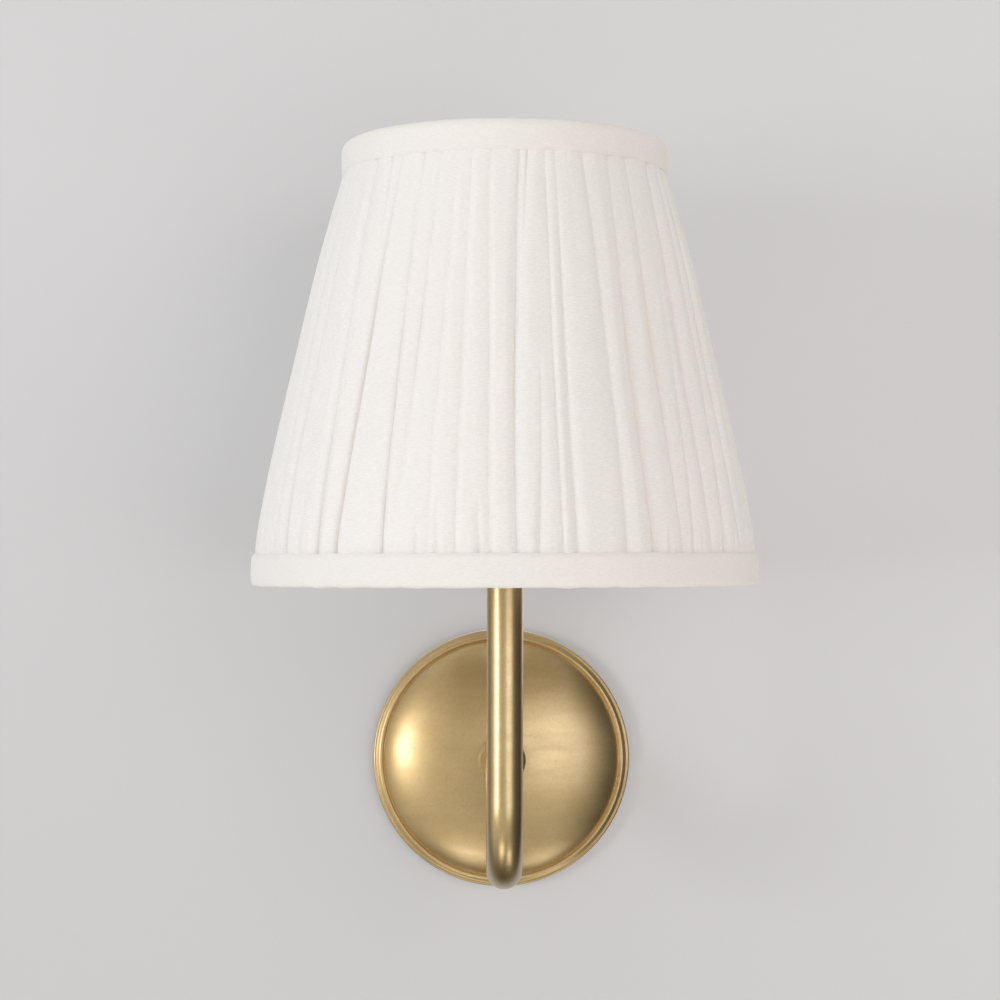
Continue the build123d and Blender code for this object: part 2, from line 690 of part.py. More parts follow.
with BuildPart() as holder_terminal_screws:
    with BuildSketch(at_lamp(INSERT_BOTTOM - SCREW_HEAD)):
        with Locations((-CONTACT_X, 0), (CONTACT_X, 0)):
            Circle(SCREW_HEAD_R)
    extrude(amount=SCREW_HEAD)
    fillet(holder_terminal_screws.edges().group_by(Axis.Z)[0], radius=0.5)
holder_terminal_screws.part.label = "holder_terminal_screws"

# ---- Shade carrier and shade ring ---------------------------------------------------------------

CARRIER_Z = FLANGE_TOP + RUNNING_GAP
CARRIER_R = 19.5
CARRIER_HOLE_R = 14.5
SPOKE_ANGLES = [spoke * 360 / SPOKES for spoke in range(SPOKES)]

with BuildPart() as shade_carrier_ring:
    with BuildSketch(at_lamp(CARRIER_Z)):
        Circle(CARRIER_R)
        Circle(CARRIER_HOLE_R, mode=Mode.SUBTRACT)
    extrude(amount=CARRIER_SHEET)
    chamfer(shade_carrier_ring.edges().group_by(Axis.Z)[-1], length=0.3)
shade_carrier_ring.part.label = "shade_carrier_ring"

SPOKE_LEVEL = CARRIER_Z + CARRIER_SHEET / 2
SPOKE_BEND_AT = 34.0
SPOKE_BEND_R = 14.0
SPOKE_FIT = 0.03            # spoke ends and the wires that they are welded to
SPOKE_LEAN = atan((SPOKE_LEVEL - FRAME_BOTTOM_Z) / (FRAME_BOTTOM_R - SPOKE_BEND_AT))
SPOKE_END_R = FRAME_BOTTOM_R - (RING_WIRE_R + SPOKE_FIT) * cos(SPOKE_LEAN)
SPOKE_END_Z = FRAME_BOTTOM_Z + (RING_WIRE_R + SPOKE_FIT) * sin(SPOKE_LEAN)

with BuildPart() as shade_spokes:
    for angle in SPOKE_ANGLES:
        outward = (cos(radians(angle)), sin(radians(angle)), 0)
        upright = Plane(origin=(0, -PROJECTION, 0), x_dir=outward, z_dir=(outward[1], -outward[0], 0))
        with BuildLine(upright):
            spoke_path = FilletPolyline(
                (CARRIER_R + 0.02, SPOKE_LEVEL),
                (SPOKE_BEND_AT, SPOKE_LEVEL),
                (SPOKE_END_R, SPOKE_END_Z),
                radius=SPOKE_BEND_R,
            )
        with BuildSketch(Plane(origin=spoke_path @ 0, x_dir=(0, 0, 1), z_dir=spoke_path % 0)):
            Circle(RING_WIRE_R)
        sweep(path=spoke_path)
shade_spokes.part.label = "shade_spokes"

SHADE_RING_BOTTOM = CARRIER_Z + CARRIER_SHEET + RUNNING_GAP
SHADE_RING_R = 18.5
GRIP_FLUTES = 24

with BuildPart() as shade_ring:
    with BuildSketch(LAMP_SECTION):
        with BuildLine():
            Polyline(
                (SHADE_RING_R, SHADE_RING_BOTTOM),
                (SHADE_RING_R, SHADE_RING_BOTTOM + SHADE_RING_HEIGHT - 1),
                (SHADE_RING_R - 1, SHADE_RING_BOTTOM + SHADE_RING_HEIGHT),
                (HOLDER_R + TURNING_GAP, SHADE_RING_BOTTOM + SHADE_RING_HEIGHT),
                (HOLDER_R + TURNING_GAP, SHADE_RING_BOTTOM),
                close=True,
            )
        make_face()
    revolve(axis=LAMP_AXIS)
    with BuildSketch(at_lamp(SHADE_RING_BOTTOM)):
        with PolarLocations(SHADE_RING_R + 0.3, GRIP_FLUTES):
            Circle(0.9)
    extrude(amount=SHADE_RING_HEIGHT, mode=Mode.SUBTRACT)
shade_ring.part.label = "shade_ring"

# ---- Wire frame of the shade --------------------------------------------------------------------

with BuildPart() as bottom_ring_wire:
    with BuildSketch(LAMP_SECTION):
        with Locations((FRAME_BOTTOM_R, FRAME_BOTTOM_Z)):
            Circle(RING_WIRE_R)
    revolve(axis=LAMP_AXIS)
bottom_ring_wire.part.label = "bottom_ring_wire"

with BuildPart() as top_ring_wire:
    with BuildSketch(LAMP_SECTION):
        with Locations((frame_radius(FRAME_TOP_Z), FRAME_TOP_Z)):
            Circle(RING_WIRE_R)
    revolve(axis=LAMP_AXIS)
top_ring_wire.part.label = "top_ring_wire"

STRUT_LOW = FRAME_BOTTOM_Z + RING_WIRE_R + 0.3
STRUT_HIGH = FRAME_TOP_Z - RING_WIRE_R - 0.3
STRUT_ANGLES = [30 + strut * 360 / STRUTS for strut in range(STRUTS)]

with BuildPart() as strut_wires:
    for angle in STRUT_ANGLES:
        outward = (cos(radians(angle)), sin(radians(angle)), 0)
        foot = Vector(0, -PROJECTION, STRUT_LOW) + Vector(*outward) * frame_radius(STRUT_LOW)
        head = Vector(0, -PROJECTION, STRUT_HIGH) + Vector(*outward) * frame_radius(STRUT_HIGH)
        with BuildSketch(Plane(origin=foot, z_dir=head - foot)):
            Circle(STRUT_WIRE_R)
        extrude(amount=(head - foot).length)
strut_wires.part.label = "strut_wires"

# ---- Lining, pleated cover and bindings ---------------------------------------------------------

LINING_LOW = 88.0
LINING_HIGH = 276.8
SPOKE_SLIT_R = 2.2
SLIT_REACH = 9.0

with BuildPart() as shade_lining:
    with BuildSketch(LAMP_SECTION):
        with BuildLine():
            Polyline(
                (frame_radius(LINING_LOW) - LINING_OFFSET, LINING_LOW),
                (frame_radius(LINING_HIGH) - LINING_OFFSET, LINING_HIGH),
                (frame_radius(LINING_HIGH) - LINING_OFFSET - LINING_SHEET, LINING_HIGH),
                (frame_radius(LINING_LOW) - LINING_OFFSET - LINING_SHEET, LINING_LOW),
                close=True,
            )
        make_face()
    revolve(axis=LAMP_AXIS)
    for angle in SPOKE_ANGLES:
        outward = Vector(cos(radians(angle)), sin(radians(angle)), 0)
        spoke_root = Vector(0, -PROJECTION, FRAME_BOTTOM_Z + 1) + outward * (FRAME_BOTTOM_R - SLIT_REACH)
        with BuildSketch(Plane(origin=spoke_root, z_dir=outward)):
            Circle(SPOKE_SLIT_R)
        extrude(amount=SLIT_REACH, mode=Mode.SUBTRACT)
shade_lining.part.label = "shade_lining"

# Creases between the pleats, in degrees from the front: those that show, then an uneven gathering
# that goes on round the back.
FRONT_CREASES = [-77, -68, -58, -48, -39, -28, -22.5, -17, -11, -4.5, 2.5, 8.5, 15.5, 21.5,
                 27.5, 33.5, 42, 49, 55, 61, 68, 75]
BACK_STEP = 7.8
BACK_STEP_VARIES = 1.7

creases = list(FRONT_CREASES)
while creases[-1] < 360 + FRONT_CREASES[0] - BACK_STEP - BACK_STEP_VARIES:
    creases.append(creases[-1] + BACK_STEP + BACK_STEP_VARIES * sin(2.4 * len(creases)))
print(f"pleats round the shade: {len(creases)}")

# Levels of the cover: height, radius of the pleats' crests, and how far the creases go in.
COVER_LEVELS = [
    (88.5, 109.75, 0.4),
    (BOTTOM_SEAM, 109.8, 2.6),
    (122.0, 106.6, 3.6),
    (184.0, 92.6, 3.6),
    (233.0, 81.1, 2.9),
    (259.0, 73.0, 1.1),
    (TOP_SEAM, 71.2, 0.6),
    (TOP_SEAM + 8, 70.2, 0.5),
]
PLEAT_ROUNDNESS = 0.34      # the most that a pleat stands out, as a share of its width
BELOW = SHADE_BOTTOM - 5    # ends of the cone that hollows the cover
ABOVE = SHADE_TOP + 5


def pleated_section(height, crest_r, depth):
    """Closed level section of the cover: one arc for each pleat, creased between them."""
    crease_r = crest_r - depth
    around = creases + [creases[0] + 360]
    with BuildSketch(Plane.XY.offset(height), mode=Mode.PRIVATE) as section:
        with BuildLine():
            for left, right in zip(around[:-1], around[1:]):
                middle = (left + right) / 2
                width = 2 * crease_r * sin(radians((right - left) / 2))
                chord_r = crease_r * cos(radians((right - left) / 2))
                stand = min(crest_r - chord_r, PLEAT_ROUNDNESS * width)
                ThreePointArc(
                    shade_point(crease_r, left),
                    shade_point(chord_r + stand, middle),
                    shade_point(crease_r, right),
                )
        make_face()
    return section.sketch.moved(Location((0, -PROJECTION, 0)))


with BuildPart() as pleated_cover:
    loft(sections=[pleated_section(*level) for level in COVER_LEVELS], ruled=True)
    with BuildSketch(LAMP_SECTION):
        with BuildLine():
            Polyline(
                (0, BELOW),
                (frame_radius(BELOW) + COVER_OFFSET, BELOW),
                (frame_radius(ABOVE) + COVER_OFFSET, ABOVE),
                (0, ABOVE),
                close=True,
            )
        make_face()
    revolve(axis=LAMP_AXIS, mode=Mode.SUBTRACT)
pleated_cover.part.label = "pleated_cover"

BOTTOM_LEG_TOP = 89.8       # top of the bottom binding's inner leg, below the spokes
BINDING_SHEET = 1.2
BOTTOM_LEG_R = frame_radius(FRAME_BOTTOM_Z - 3) - 2.6
BOTTOM_FOLD_R = 109.95      # inside of the bottom binding's outer leg

with BuildPart() as bottom_binding:
    with BuildSketch(LAMP_SECTION):
        with BuildLine():
            FilletPolyline(
                (BOTTOM_FOLD_R, BOTTOM_SEAM),
                (BOTTOM_BINDING_R - 0.3, BOTTOM_SEAM),
                (BOTTOM_BINDING_R, SHADE_BOTTOM),
                (BOTTOM_LEG_R - BINDING_SHEET, SHADE_BOTTOM),
                (BOTTOM_LEG_R - BINDING_SHEET, BOTTOM_LEG_TOP),
                (BOTTOM_LEG_R, BOTTOM_LEG_TOP),
                (BOTTOM_LEG_R, SHADE_BOTTOM + 2),
                (BOTTOM_FOLD_R, SHADE_BOTTOM + 2),
                radius=(0, 0.5, 1.8, 1.5, 0.3, 0.3, 0.3, 0.3),
                close=True,
            )
        make_face()
    revolve(axis=LAMP_AXIS)
bottom_binding.part.label = "bottom_binding"

ROOF = 277.4                # underside of the top binding, above the ring wire

with BuildPart() as top_binding:
    with BuildSketch(LAMP_SECTION):
        with BuildLine():
            FilletPolyline(
                (71.2, TOP_SEAM),
                (TOP_BINDING_R - 0.1, TOP_SEAM),
                (TOP_BINDING_R, SHADE_TOP),
                (frame_radius(SHADE_TOP) - 3.9, SHADE_TOP),
                (frame_radius(TOP_SEAM) - 3.7, TOP_SEAM),
                (frame_radius(TOP_SEAM) - 2.5, TOP_SEAM),
                (frame_radius(ROOF) - 2.5, ROOF),
                (TOP_BINDING_R - 2, ROOF),
                radius=(0, 0.4, 4.5, 2.5, 0.3, 0.3, 0.5, 0.5),
                close=True,
            )
        make_face()
    revolve(axis=LAMP_AXIS)
top_binding.part.label = "top_binding"

# ---- Bulb ---------------------------------------------------------------------------------------

BULB_TOP = BULB_BOTTOM + BULB_LENGTH
GLOBE_Z = BULB_TOP - BULB_R
NECK_R = 7.4
NECK_TOP = 155.0
SHOULDER_ANGLE = 51.0       # from the globe's axis to where the neck meets the globe


def glass_line(inset):
    """Half outline of the bulb's glass, from the neck to the crown, drawn inwards by inset."""
    globe_r = BULB_R - inset
    shoulder = (globe_r * sin(radians(SHOULDER_ANGLE)), GLOBE_Z - globe_r * cos(radians(SHOULDER_ANGLE)))
    neck = Line((NECK_R - inset, CAP_TOP + 0.05), (NECK_R - inset, NECK_TOP))
    Spline(
        neck @ 1,
        shoulder,
        tangents=[(0, 1), (cos(radians(SHOULDER_ANGLE)), sin(radians(SHOULDER_ANGLE)))],
    )
    ThreePointArc(shoulder, (globe_r, GLOBE_Z), (0, GLOBE_Z + globe_r))


with BuildPart() as bulb_glass:
    with BuildSketch(LAMP_SECTION):
        with BuildLine():
            glass_line(0)
            glass_line(GLASS)
            Line((NECK_R, CAP_TOP + 0.05), (NECK_R - GLASS, CAP_TOP + 0.05))
            Line((0, BULB_TOP), (0, BULB_TOP - GLASS))
        make_face()
    revolve(axis=LAMP_AXIS)
bulb_glass.part.label = "bulb_glass"

CAP_BOTTOM = 131.5
CAP_BORE_R = 5.9
CAP_LIP_R = 7.7
CONTACT_HEIGHT = 0.8
CONTACT_R = 2.4
INSULATOR_TOP = CAP_BOTTOM + 2

with BuildPart() as bulb_cap:
    with BuildSketch(LAMP_SECTION):
        with BuildLine():
            Polyline(
                (CAP_BORE_R, CAP_BOTTOM),
                *thread_points(BULB_THREAD_R, BULB_THREAD_R - 0.5, CAP_BOTTOM, CAP_TOP - 3, THREAD_PITCH),
                (BULB_THREAD_R, CAP_TOP - 1.4),
                (CAP_LIP_R, CAP_TOP - 0.6),
                (CAP_LIP_R, CAP_TOP),
                (CAP_BORE_R, CAP_TOP),
                close=True,
            )
        make_face()
    revolve(axis=LAMP_AXIS)
bulb_cap.part.label = "bulb_cap"

with BuildPart() as bulb_insulator:
    with BuildSketch(LAMP_SECTION):
        with BuildLine():
            Polyline(
                (0, BULB_BOTTOM + CONTACT_HEIGHT),
                (CONTACT_R + 0.6, BULB_BOTTOM + CONTACT_HEIGHT),
                (CAP_BORE_R - 0.1, CAP_BOTTOM - 0.05),
                (CAP_BORE_R - 0.1, INSULATOR_TOP),
                (0, INSULATOR_TOP),
                close=True,
            )
        make_face()
    revolve(axis=LAMP_AXIS)
bulb_insulator.part.label = "bulb_insulator"

with BuildPart() as bulb_contact:
    with BuildSketch(at_lamp(BULB_BOTTOM)):
        Circle(CONTACT_R)
    extrude(amount=CONTACT_HEIGHT - 0.02)
    fillet(bulb_contact.edges().group_by(Axis.Z)[0], radius=0.5)
bulb_contact.part.label = "bulb_contact"

STEM_TOP = 172.0
STEM_FOOT_R = 5.5

with BuildPart() as bulb_stem:
    with BuildSketch(LAMP_SECTION):
        with BuildLine():
            Polyline(
                (0, INSULATOR_TOP + RUNNING_GAP),
                (STEM_FOOT_R, INSULATOR_TOP + RUNNING_GAP),
                (STEM_FOOT_R, CAP_TOP),
                (2.6, CAP_TOP + 8),
                (1.6, STEM_TOP),
                (0, STEM_TOP),
                close=True,
            )
        make_face()
    revolve(axis=LAMP_AXIS)
bulb_stem.part.label = "bulb_stem"

FILAMENTS = 4
FILAMENT_R = 0.9
FILAMENT_LENGTH = 30.0
FILAMENT_FOOT_R = 4.0
FILAMENT_HEAD_R = 9.0
FILAMENT_TWIST = 40.0       # turn of a filament's head round the stem from its foot
FILAMENT_FOOT_Z = STEM_TOP - 8
FILAMENT_HEAD_Z = STEM_TOP + 20

with BuildPart() as bulb_filaments:
    for filament in range(FILAMENTS):
        angle = radians(45 + filament * 360 / FILAMENTS)
        twist = angle + radians(FILAMENT_TWIST)
        foot = Vector(cos(angle), sin(angle), 0) * FILAMENT_FOOT_R + Vector(0, -PROJECTION, FILAMENT_FOOT_Z)
        head = Vector(cos(twist), sin(twist), 0) * FILAMENT_HEAD_R + Vector(0, -PROJECTION, FILAMENT_HEAD_Z)
        along = (head - foot).normalized()
        with BuildSketch(Plane(origin=foot, z_dir=along)):
            Circle(FILAMENT_R)
        extrude(amount=FILAMENT_LENGTH)
bulb_filaments.part.label = "bulb_filaments"

# ---- Export -------------------------------------------------------------------------------------

PIECES = [
    mounting_strap, plate_side_screws, wall_plate, earth_tag, earth_screw, earth_lead, terminal_block,
    terminal_sleeves, terminal_screws, block_screw, arm_tube, arm_collar, arm_wall_plug, wall_nipple,
    lock_washer, lock_nut, arm_top_plug, top_nipple, flex_cable, wall_end_cores, lamp_end_cores,
    holder_cup, holder_base_cap, holder_lock_screw, holder_body, holder_insert, holder_thread_shell,
    holder_centre_contact, holder_terminal_screws, shade_carrier_ring, shade_spokes, shade_ring,
    bottom_ring_wire, top_ring_wire, strut_wires, shade_lining, pleated_cover, bottom_binding,
    top_binding, bulb_glass, bulb_cap, bulb_insulator, bulb_contact, bulb_stem, bulb_filaments,
]

os.makedirs("parts", exist_ok=True)
for piece in PIECES:
    export_step(piece.part, f"parts/{piece.part.label}.step")
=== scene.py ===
import json
import math
import random

import bmesh
import bpy
import numpy as np
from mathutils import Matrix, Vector


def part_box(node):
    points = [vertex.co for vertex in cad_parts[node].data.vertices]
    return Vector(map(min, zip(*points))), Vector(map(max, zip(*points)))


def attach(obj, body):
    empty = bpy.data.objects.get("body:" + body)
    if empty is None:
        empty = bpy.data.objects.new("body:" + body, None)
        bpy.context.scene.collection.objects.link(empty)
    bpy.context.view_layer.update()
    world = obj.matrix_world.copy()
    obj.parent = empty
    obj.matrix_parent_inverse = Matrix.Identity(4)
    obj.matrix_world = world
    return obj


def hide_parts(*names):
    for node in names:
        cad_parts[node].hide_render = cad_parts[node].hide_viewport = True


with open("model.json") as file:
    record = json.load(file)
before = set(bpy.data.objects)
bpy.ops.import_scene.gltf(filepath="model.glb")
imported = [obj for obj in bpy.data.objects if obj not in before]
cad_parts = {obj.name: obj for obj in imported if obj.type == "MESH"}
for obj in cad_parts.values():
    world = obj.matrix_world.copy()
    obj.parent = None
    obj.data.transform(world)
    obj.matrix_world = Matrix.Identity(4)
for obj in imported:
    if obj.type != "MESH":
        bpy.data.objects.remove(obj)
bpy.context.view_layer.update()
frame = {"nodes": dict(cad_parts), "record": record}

# Metres. X is to the right, Y goes into the wall, Z is up, and the wall is the plane y = 0.

MM = 0.001
WALL_BODY = "wall_part"
SHADE_BODY = "shade"
NODES = frame["nodes"]


def middle(node):
    """Centre of a node's box."""
    low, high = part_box(node)
    return (low + high) / 2


LAMP_Y = middle("bottom_ring_wire").y
SHADE_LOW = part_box("bottom_binding")[0].z
SHADE_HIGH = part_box("top_binding")[1].z
BOTTOM_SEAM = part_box("bottom_binding")[1].z
TOP_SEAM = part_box("top_binding")[0].z
BOTTOM_BINDING_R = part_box("bottom_binding")[1].x
TOP_BINDING_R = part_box("top_binding")[1].x
FRAME_LOW = middle("bottom_ring_wire").z
FRAME_HIGH = middle("top_ring_wire").z
RING_WIRE_R = (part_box("bottom_ring_wire")[1].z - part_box("bottom_ring_wire")[0].z) / 2
FRAME_LOW_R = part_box("bottom_ring_wire")[1].x - RING_WIRE_R
FRAME_HIGH_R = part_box("top_ring_wire")[1].x - RING_WIRE_R


def frame_radius(height):
    """Centre line of the wire frame at a height."""
    share = (height - FRAME_LOW) / (FRAME_HIGH - FRAME_LOW)
    return FRAME_LOW_R + share * (FRAME_HIGH_R - FRAME_LOW_R)


# ---- Meshes -------------------------------------------------------------------------------------

def new_object(name, mesh):
    """Object of a mesh, linked to the scene."""
    obj = bpy.data.objects.new(name, mesh)
    bpy.context.scene.collection.objects.link(obj)
    return obj


def grid_object(name, points, uvs, close_rows=False, painted_crease_shade=None):
    """Smooth quad mesh from points[row][column], closed along each row, with a UV map in metres.

    close_rows joins the last row to the first, and the last argument gives a value for each point, kept
    as an attribute for the painted shade in the cover's creases."""
    rows, columns = points.shape[:2]
    left = np.arange(rows * columns).reshape(rows, columns)
    right = np.roll(left, -1, axis=1)
    if close_rows:
        low_left, low_right = left, right
        high_left, high_right = np.roll(left, -1, axis=0), np.roll(right, -1, axis=0)
    else:
        low_left, low_right = left[:-1], right[:-1]
        high_left, high_right = left[1:], right[1:]
    faces = np.stack([low_left, low_right, high_right, high_left], axis=-1).reshape(-1, 4)
    mesh = bpy.data.meshes.new(name)
    mesh.from_pydata(points.reshape(-1, 3).tolist(), [], faces.tolist())
    flat_uv = uvs.reshape(-1, 2)[faces].reshape(-1, 2)
    last = columns - 1
    column_of = (faces % columns).reshape(-1)
    in_last_column = np.repeat(faces[:, 0] % columns == last, 4)
    wraps = in_last_column & (column_of == 0)
    width = uvs[0, 1, 0] - uvs[0, 0, 0]
    flat_uv[wraps, 0] = uvs[0, last, 0] + width
    layer = mesh.uv_layers.new(name="cloth")
    layer.data.foreach_set("uv", flat_uv.astype(np.float32).ravel())
    if painted_crease_shade is not None:
        attribute = mesh.attributes.new("painted_crease_shade", "FLOAT", "POINT")
        attribute.data.foreach_set("value", painted_crease_shade.reshape(-1).astype(np.float32))
    mesh.polygons.foreach_set("use_smooth", [True] * len(mesh.polygons))
    mesh.update()
    return new_object(name, mesh)


def thicken(obj, thickness):
    """Gives a sheet its thickness, inwards."""
    modifier = obj.modifiers.new("thickness", "SOLIDIFY")
    modifier.thickness = thickness
    modifier.offset = -1.0
    modifier.use_even_offset = False
    apply_modifiers(obj)


def apply_modifiers(obj):
    """Replaces an object's mesh by the one that its modifiers make."""
    bpy.context.view_layer.update()
    graph = bpy.context.evaluated_depsgraph_get()
    mesh = bpy.data.meshes.new_from_object(obj.evaluated_get(graph), depsgraph=graph)
    obj.modifiers.clear()
    old = obj.data
    obj.data = mesh
    bpy.data.meshes.remove(old)


def run_along(outline):
    """Distance along an outline at each of its points."""
    return np.concatenate([[0], np.cumsum(np.hypot(*np.diff(outline, axis=0).T))])


def fix_normals(obj):
    """Turns every face of a closed mesh outwards."""
    made = bmesh.new()
    made.from_mesh(obj.data)
    bmesh.ops.recalc_face_normals(made, faces=made.faces)
    made.to_mesh(obj.data)
    made.free()


def around_lamp(radius, azimuth, height):
    """Points round the lamp axis, with azimuth in radians from the front towards +X."""
    across = radius * np.sin(azimuth)
    depth = LAMP_Y - radius * np.cos(azimuth)
    return np.stack(np.broadcast_arrays(across, depth, height), axis=-1)


# ---- Material helpers ---------------------------------------------------------------------------

class Nodes:
    """Short calls for the nodes and links of a material or of the world."""

    def __init__(self, tree):
        self.tree = tree

    def node(self, kind, **settings):
        made = self.tree.nodes.new(kind)
        for key, value in settings.items():
            setattr(made, key, value)
        return made

    def link(self, source, target):
        self.tree.links.new(source, target)

    def vector(self, source, scale=(1, 1, 1), rotation=(0, 0, 0)):
        """Coordinates from 'object', or from the UV map of that name, scaled and turned."""
        if source == "object":
            start = self.node("ShaderNodeTexCoord").outputs["Object"]
        else:
            start = self.node("ShaderNodeUVMap", uv_map=source).outputs["UV"]
        mapping = self.node("ShaderNodeMapping")
        mapping.inputs["Scale"].default_value = scale
        mapping.inputs["Rotation"].default_value = rotation
        self.link(start, mapping.inputs["Vector"])
        return mapping.outputs["Vector"]

    def noise(self, vector, scale, detail=3.0, roughness=0.5, distortion=0.0):
        made = self.node("ShaderNodeTexNoise")
        made.inputs["Scale"].default_value = scale
        made.inputs["Detail"].default_value = detail
        made.inputs["Roughness"].default_value = roughness
        made.inputs["Distortion"].default_value = distortion
        self.link(vector, made.inputs["Vector"])
        return made.outputs["Fac"]

    def span(self, source, low, high, to_low=0.0, to_high=1.0, kind="LINEAR"):
        """Value that goes from to_low to to_high as the source goes from low to high."""
        made = self.node("ShaderNodeMapRange", interpolation_type=kind)
        made.inputs["From Min"].default_value = low
        made.inputs["From Max"].default_value = high
        made.inputs["To Min"].default_value = to_low
        made.inputs["To Max"].default_value = to_high
        self.link(source, made.inputs["Value"])
        return made.outputs["Result"]

    def math(self, operation, first, second=0.5):
        made = self.node("ShaderNodeMath", operation=operation)
        for socket, value in zip(made.inputs, (first, second)):
            if isinstance(value, (int, float)):
                socket.default_value = value
            else:
                self.link(value, socket)
        return made.outputs["Value"]

    def mix(self, factor, first, second):
        """Colour between two colours or colour sockets."""
        made = self.node("ShaderNodeMix", data_type="RGBA")
        self.link(factor, made.inputs[0])
        for socket, value in ((made.inputs[6], first), (made.inputs[7], second)):
            if isinstance(value, tuple):
                socket.default_value = value
            else:
                self.link(value, socket)
        return made.outputs[2]


class Material(Nodes):
    """A node material, with short calls for its shader's inputs."""

    def __init__(self, name):
        self.material = bpy.data.materials.new(name)
        self.material.use_nodes = True
        super().__init__(self.material.node_tree)
        self.shader = self.tree.nodes["Principled BSDF"]

    def put(self, **values):
        for key, value in values.items():
            self.shader.inputs[key.replace("_", " ")].default_value = value

    def colour(self, socket):
        self.link(socket, self.shader.inputs["Base Color"])

    def rough(self, socket):
        self.link(socket, self.shader.inputs["Roughness"])

    def bump(self, height, strength, distance):
        made = self.node("ShaderNodeBump")
        made.inputs["Strength"].default_value = strength
        made.inputs["Distance"].default_value = distance
        self.link(height, made.inputs["Height"])
        self.link(made.outputs["Normal"], self.shader.inputs["Normal"])


def srgb(red, green, blue):
    """Linear colour of an 0-255 screen colour."""
    def linear(value):
        value /= 255
        return value / 12.92 if value <= 0.04045 else ((value + 0.055) / 1.055) ** 2.4
    return (linear(red), linear(green), linear(blue), 1.0)


# ---- Materials ----------------------------------------------------------------------------------

THREAD = 0.4 * MM           # spacing of the linen's threads
# Painted shade: the warmer, darker colour that the cover's deeper creases are tinted towards.
PAINTED_CREASE_SHADE_COLOUR = (233, 217, 203)


def linen_material(name, angle=0.0, painted_crease_shade=False, light=(243, 242, 240), shadow=(234, 231, 226)):
    """Slub linen: crossing threads of uneven thickness, in cloth coordinates. When asked, the deeper
    creases also get a painted warm shade.
    """
    made = Material(name)
    made.put(Roughness=0.92, Sheen_Weight=0.25, Sheen_Roughness=0.5, Specular_IOR_Level=0.25)
    plain = made.vector("cloth", rotation=(0, 0, angle))
    split = made.node("ShaderNodeSeparateXYZ")
    made.link(plain, split.inputs["Vector"])
    wander = made.noise(plain, 260.0, 2.0)
    wander = made.span(wander, 0.0, 1.0, -0.35, 0.35)
    threads = []
    for axis in ("X", "Y"):
        place = made.math("DIVIDE", split.outputs[axis], THREAD)
        place = made.math("ADD", place, wander)
        wave = made.math("SINE", made.math("MULTIPLY", place, 2 * math.pi))
        threads.append(made.span(wave, -1.0, 1.0))
    warp_slub = made.noise(made.vector("cloth", (2400, 420, 1), (0, 0, angle)), 1.0, 2.0)
    weft_slub = made.noise(made.vector("cloth", (440, 2300, 1), (0, 0, angle)), 1.0, 2.0)
    warp = made.math("MULTIPLY", threads[0], made.span(warp_slub, 0.3, 0.7, 0.4, 1.0))
    weft = made.math("MULTIPLY", threads[1], made.span(weft_slub, 0.3, 0.7, 0.4, 1.3))
    weave = made.math("MAXIMUM", warp, weft)
    tone = made.math("ADD", made.math("MULTIPLY", weft_slub, 0.75), made.math("MULTIPLY", weave, 0.25))
    tone = made.math("ADD", tone, made.math("MULTIPLY", warp_slub, 0.25))
    colour = made.mix(made.span(tone, 0.45, 0.85), srgb(*shadow), srgb(*light))
    # Painted shade: the deeper a crease, the more its colour goes towards the darker, warmer crease
    # colour.
    if painted_crease_shade:
        depth = made.node("ShaderNodeAttribute", attribute_name="painted_crease_shade").outputs["Fac"]
        colour = made.mix(made.span(depth, 0.4, 1.0, 0.0, 0.7), colour, srgb(*PAINTED_CREASE_SHADE_COLOUR))
    made.colour(colour)
    made.rough(made.span(weave, 0.0, 1.0, 0.98, 0.86))
    made.bump(made.math("ADD", weave, made.math("MULTIPLY", weft_slub, 1.2)), 0.6, 0.00012)
    return made.material


def brass_material(name, grain_scale, strength, roughness):
    """Aged satin brass under clear lacquer: rubbed patina clouds, and a fine stippled grain."""
    made = Material(name)
    made.put(Metallic=1.0, Coat_Weight=0.85, Coat_IOR=1.66, Coat_Roughness=0.26)
    place = made.vector("object")
    clouds = made.noise(place, 28.0, 5.0, 0.6)
    rubbed = made.noise(made.vector("object", (40, 40, 210), (0.0, 0.6, 0.0)), 1.0, 4.0, 0.65, 0.6)
    specks = made.noise(place, 900.0, 2.0)
    colour = made.mix(made.span(clouds, 0.35, 0.65), srgb(207, 177, 119), srgb(219, 191, 137))
    colour = made.mix(made.span(rubbed, 0.4, 0.75, 0.0, 0.3), colour, srgb(192, 159, 102))
    colour = made.mix(made.span(specks, 0.45, 0.75, 0.0, 0.25), colour, srgb(173, 143, 90))
    made.colour(colour)
    grain = made.noise(made.vector("object", grain_scale), 1.0, 3.0)
    patina = made.span(clouds, 0.3, 0.7, roughness, roughness + 0.05)
    made.rough(made.math("ADD", patina, made.span(rubbed, 0.3, 0.7, -0.03, 0.05)))
    made.bump(grain, strength, 0.00005)
    return made.material


def plain_metal(name, colour, roughness, grain_scale=1500.0):
    """Turned or plated metal of the hidden hardware, with fine tool marks and dull spots."""
    made = Material(name)
    made.put(Metallic=1.0)
    place = made.vector("object")
    clouds = made.noise(place, 120.0, 4.0)
    darker = tuple(value * 0.72 for value in colour[:3]) + (1.0,)
    made.colour(made.mix(made.span(clouds, 0.35, 0.7), colour, darker))
    made.rough(made.span(clouds, 0.3, 0.7, roughness, roughness + 0.15))
    made.bump(made.noise(place, grain_scale, 2.0), 0.15, 0.00005)
    return made.material


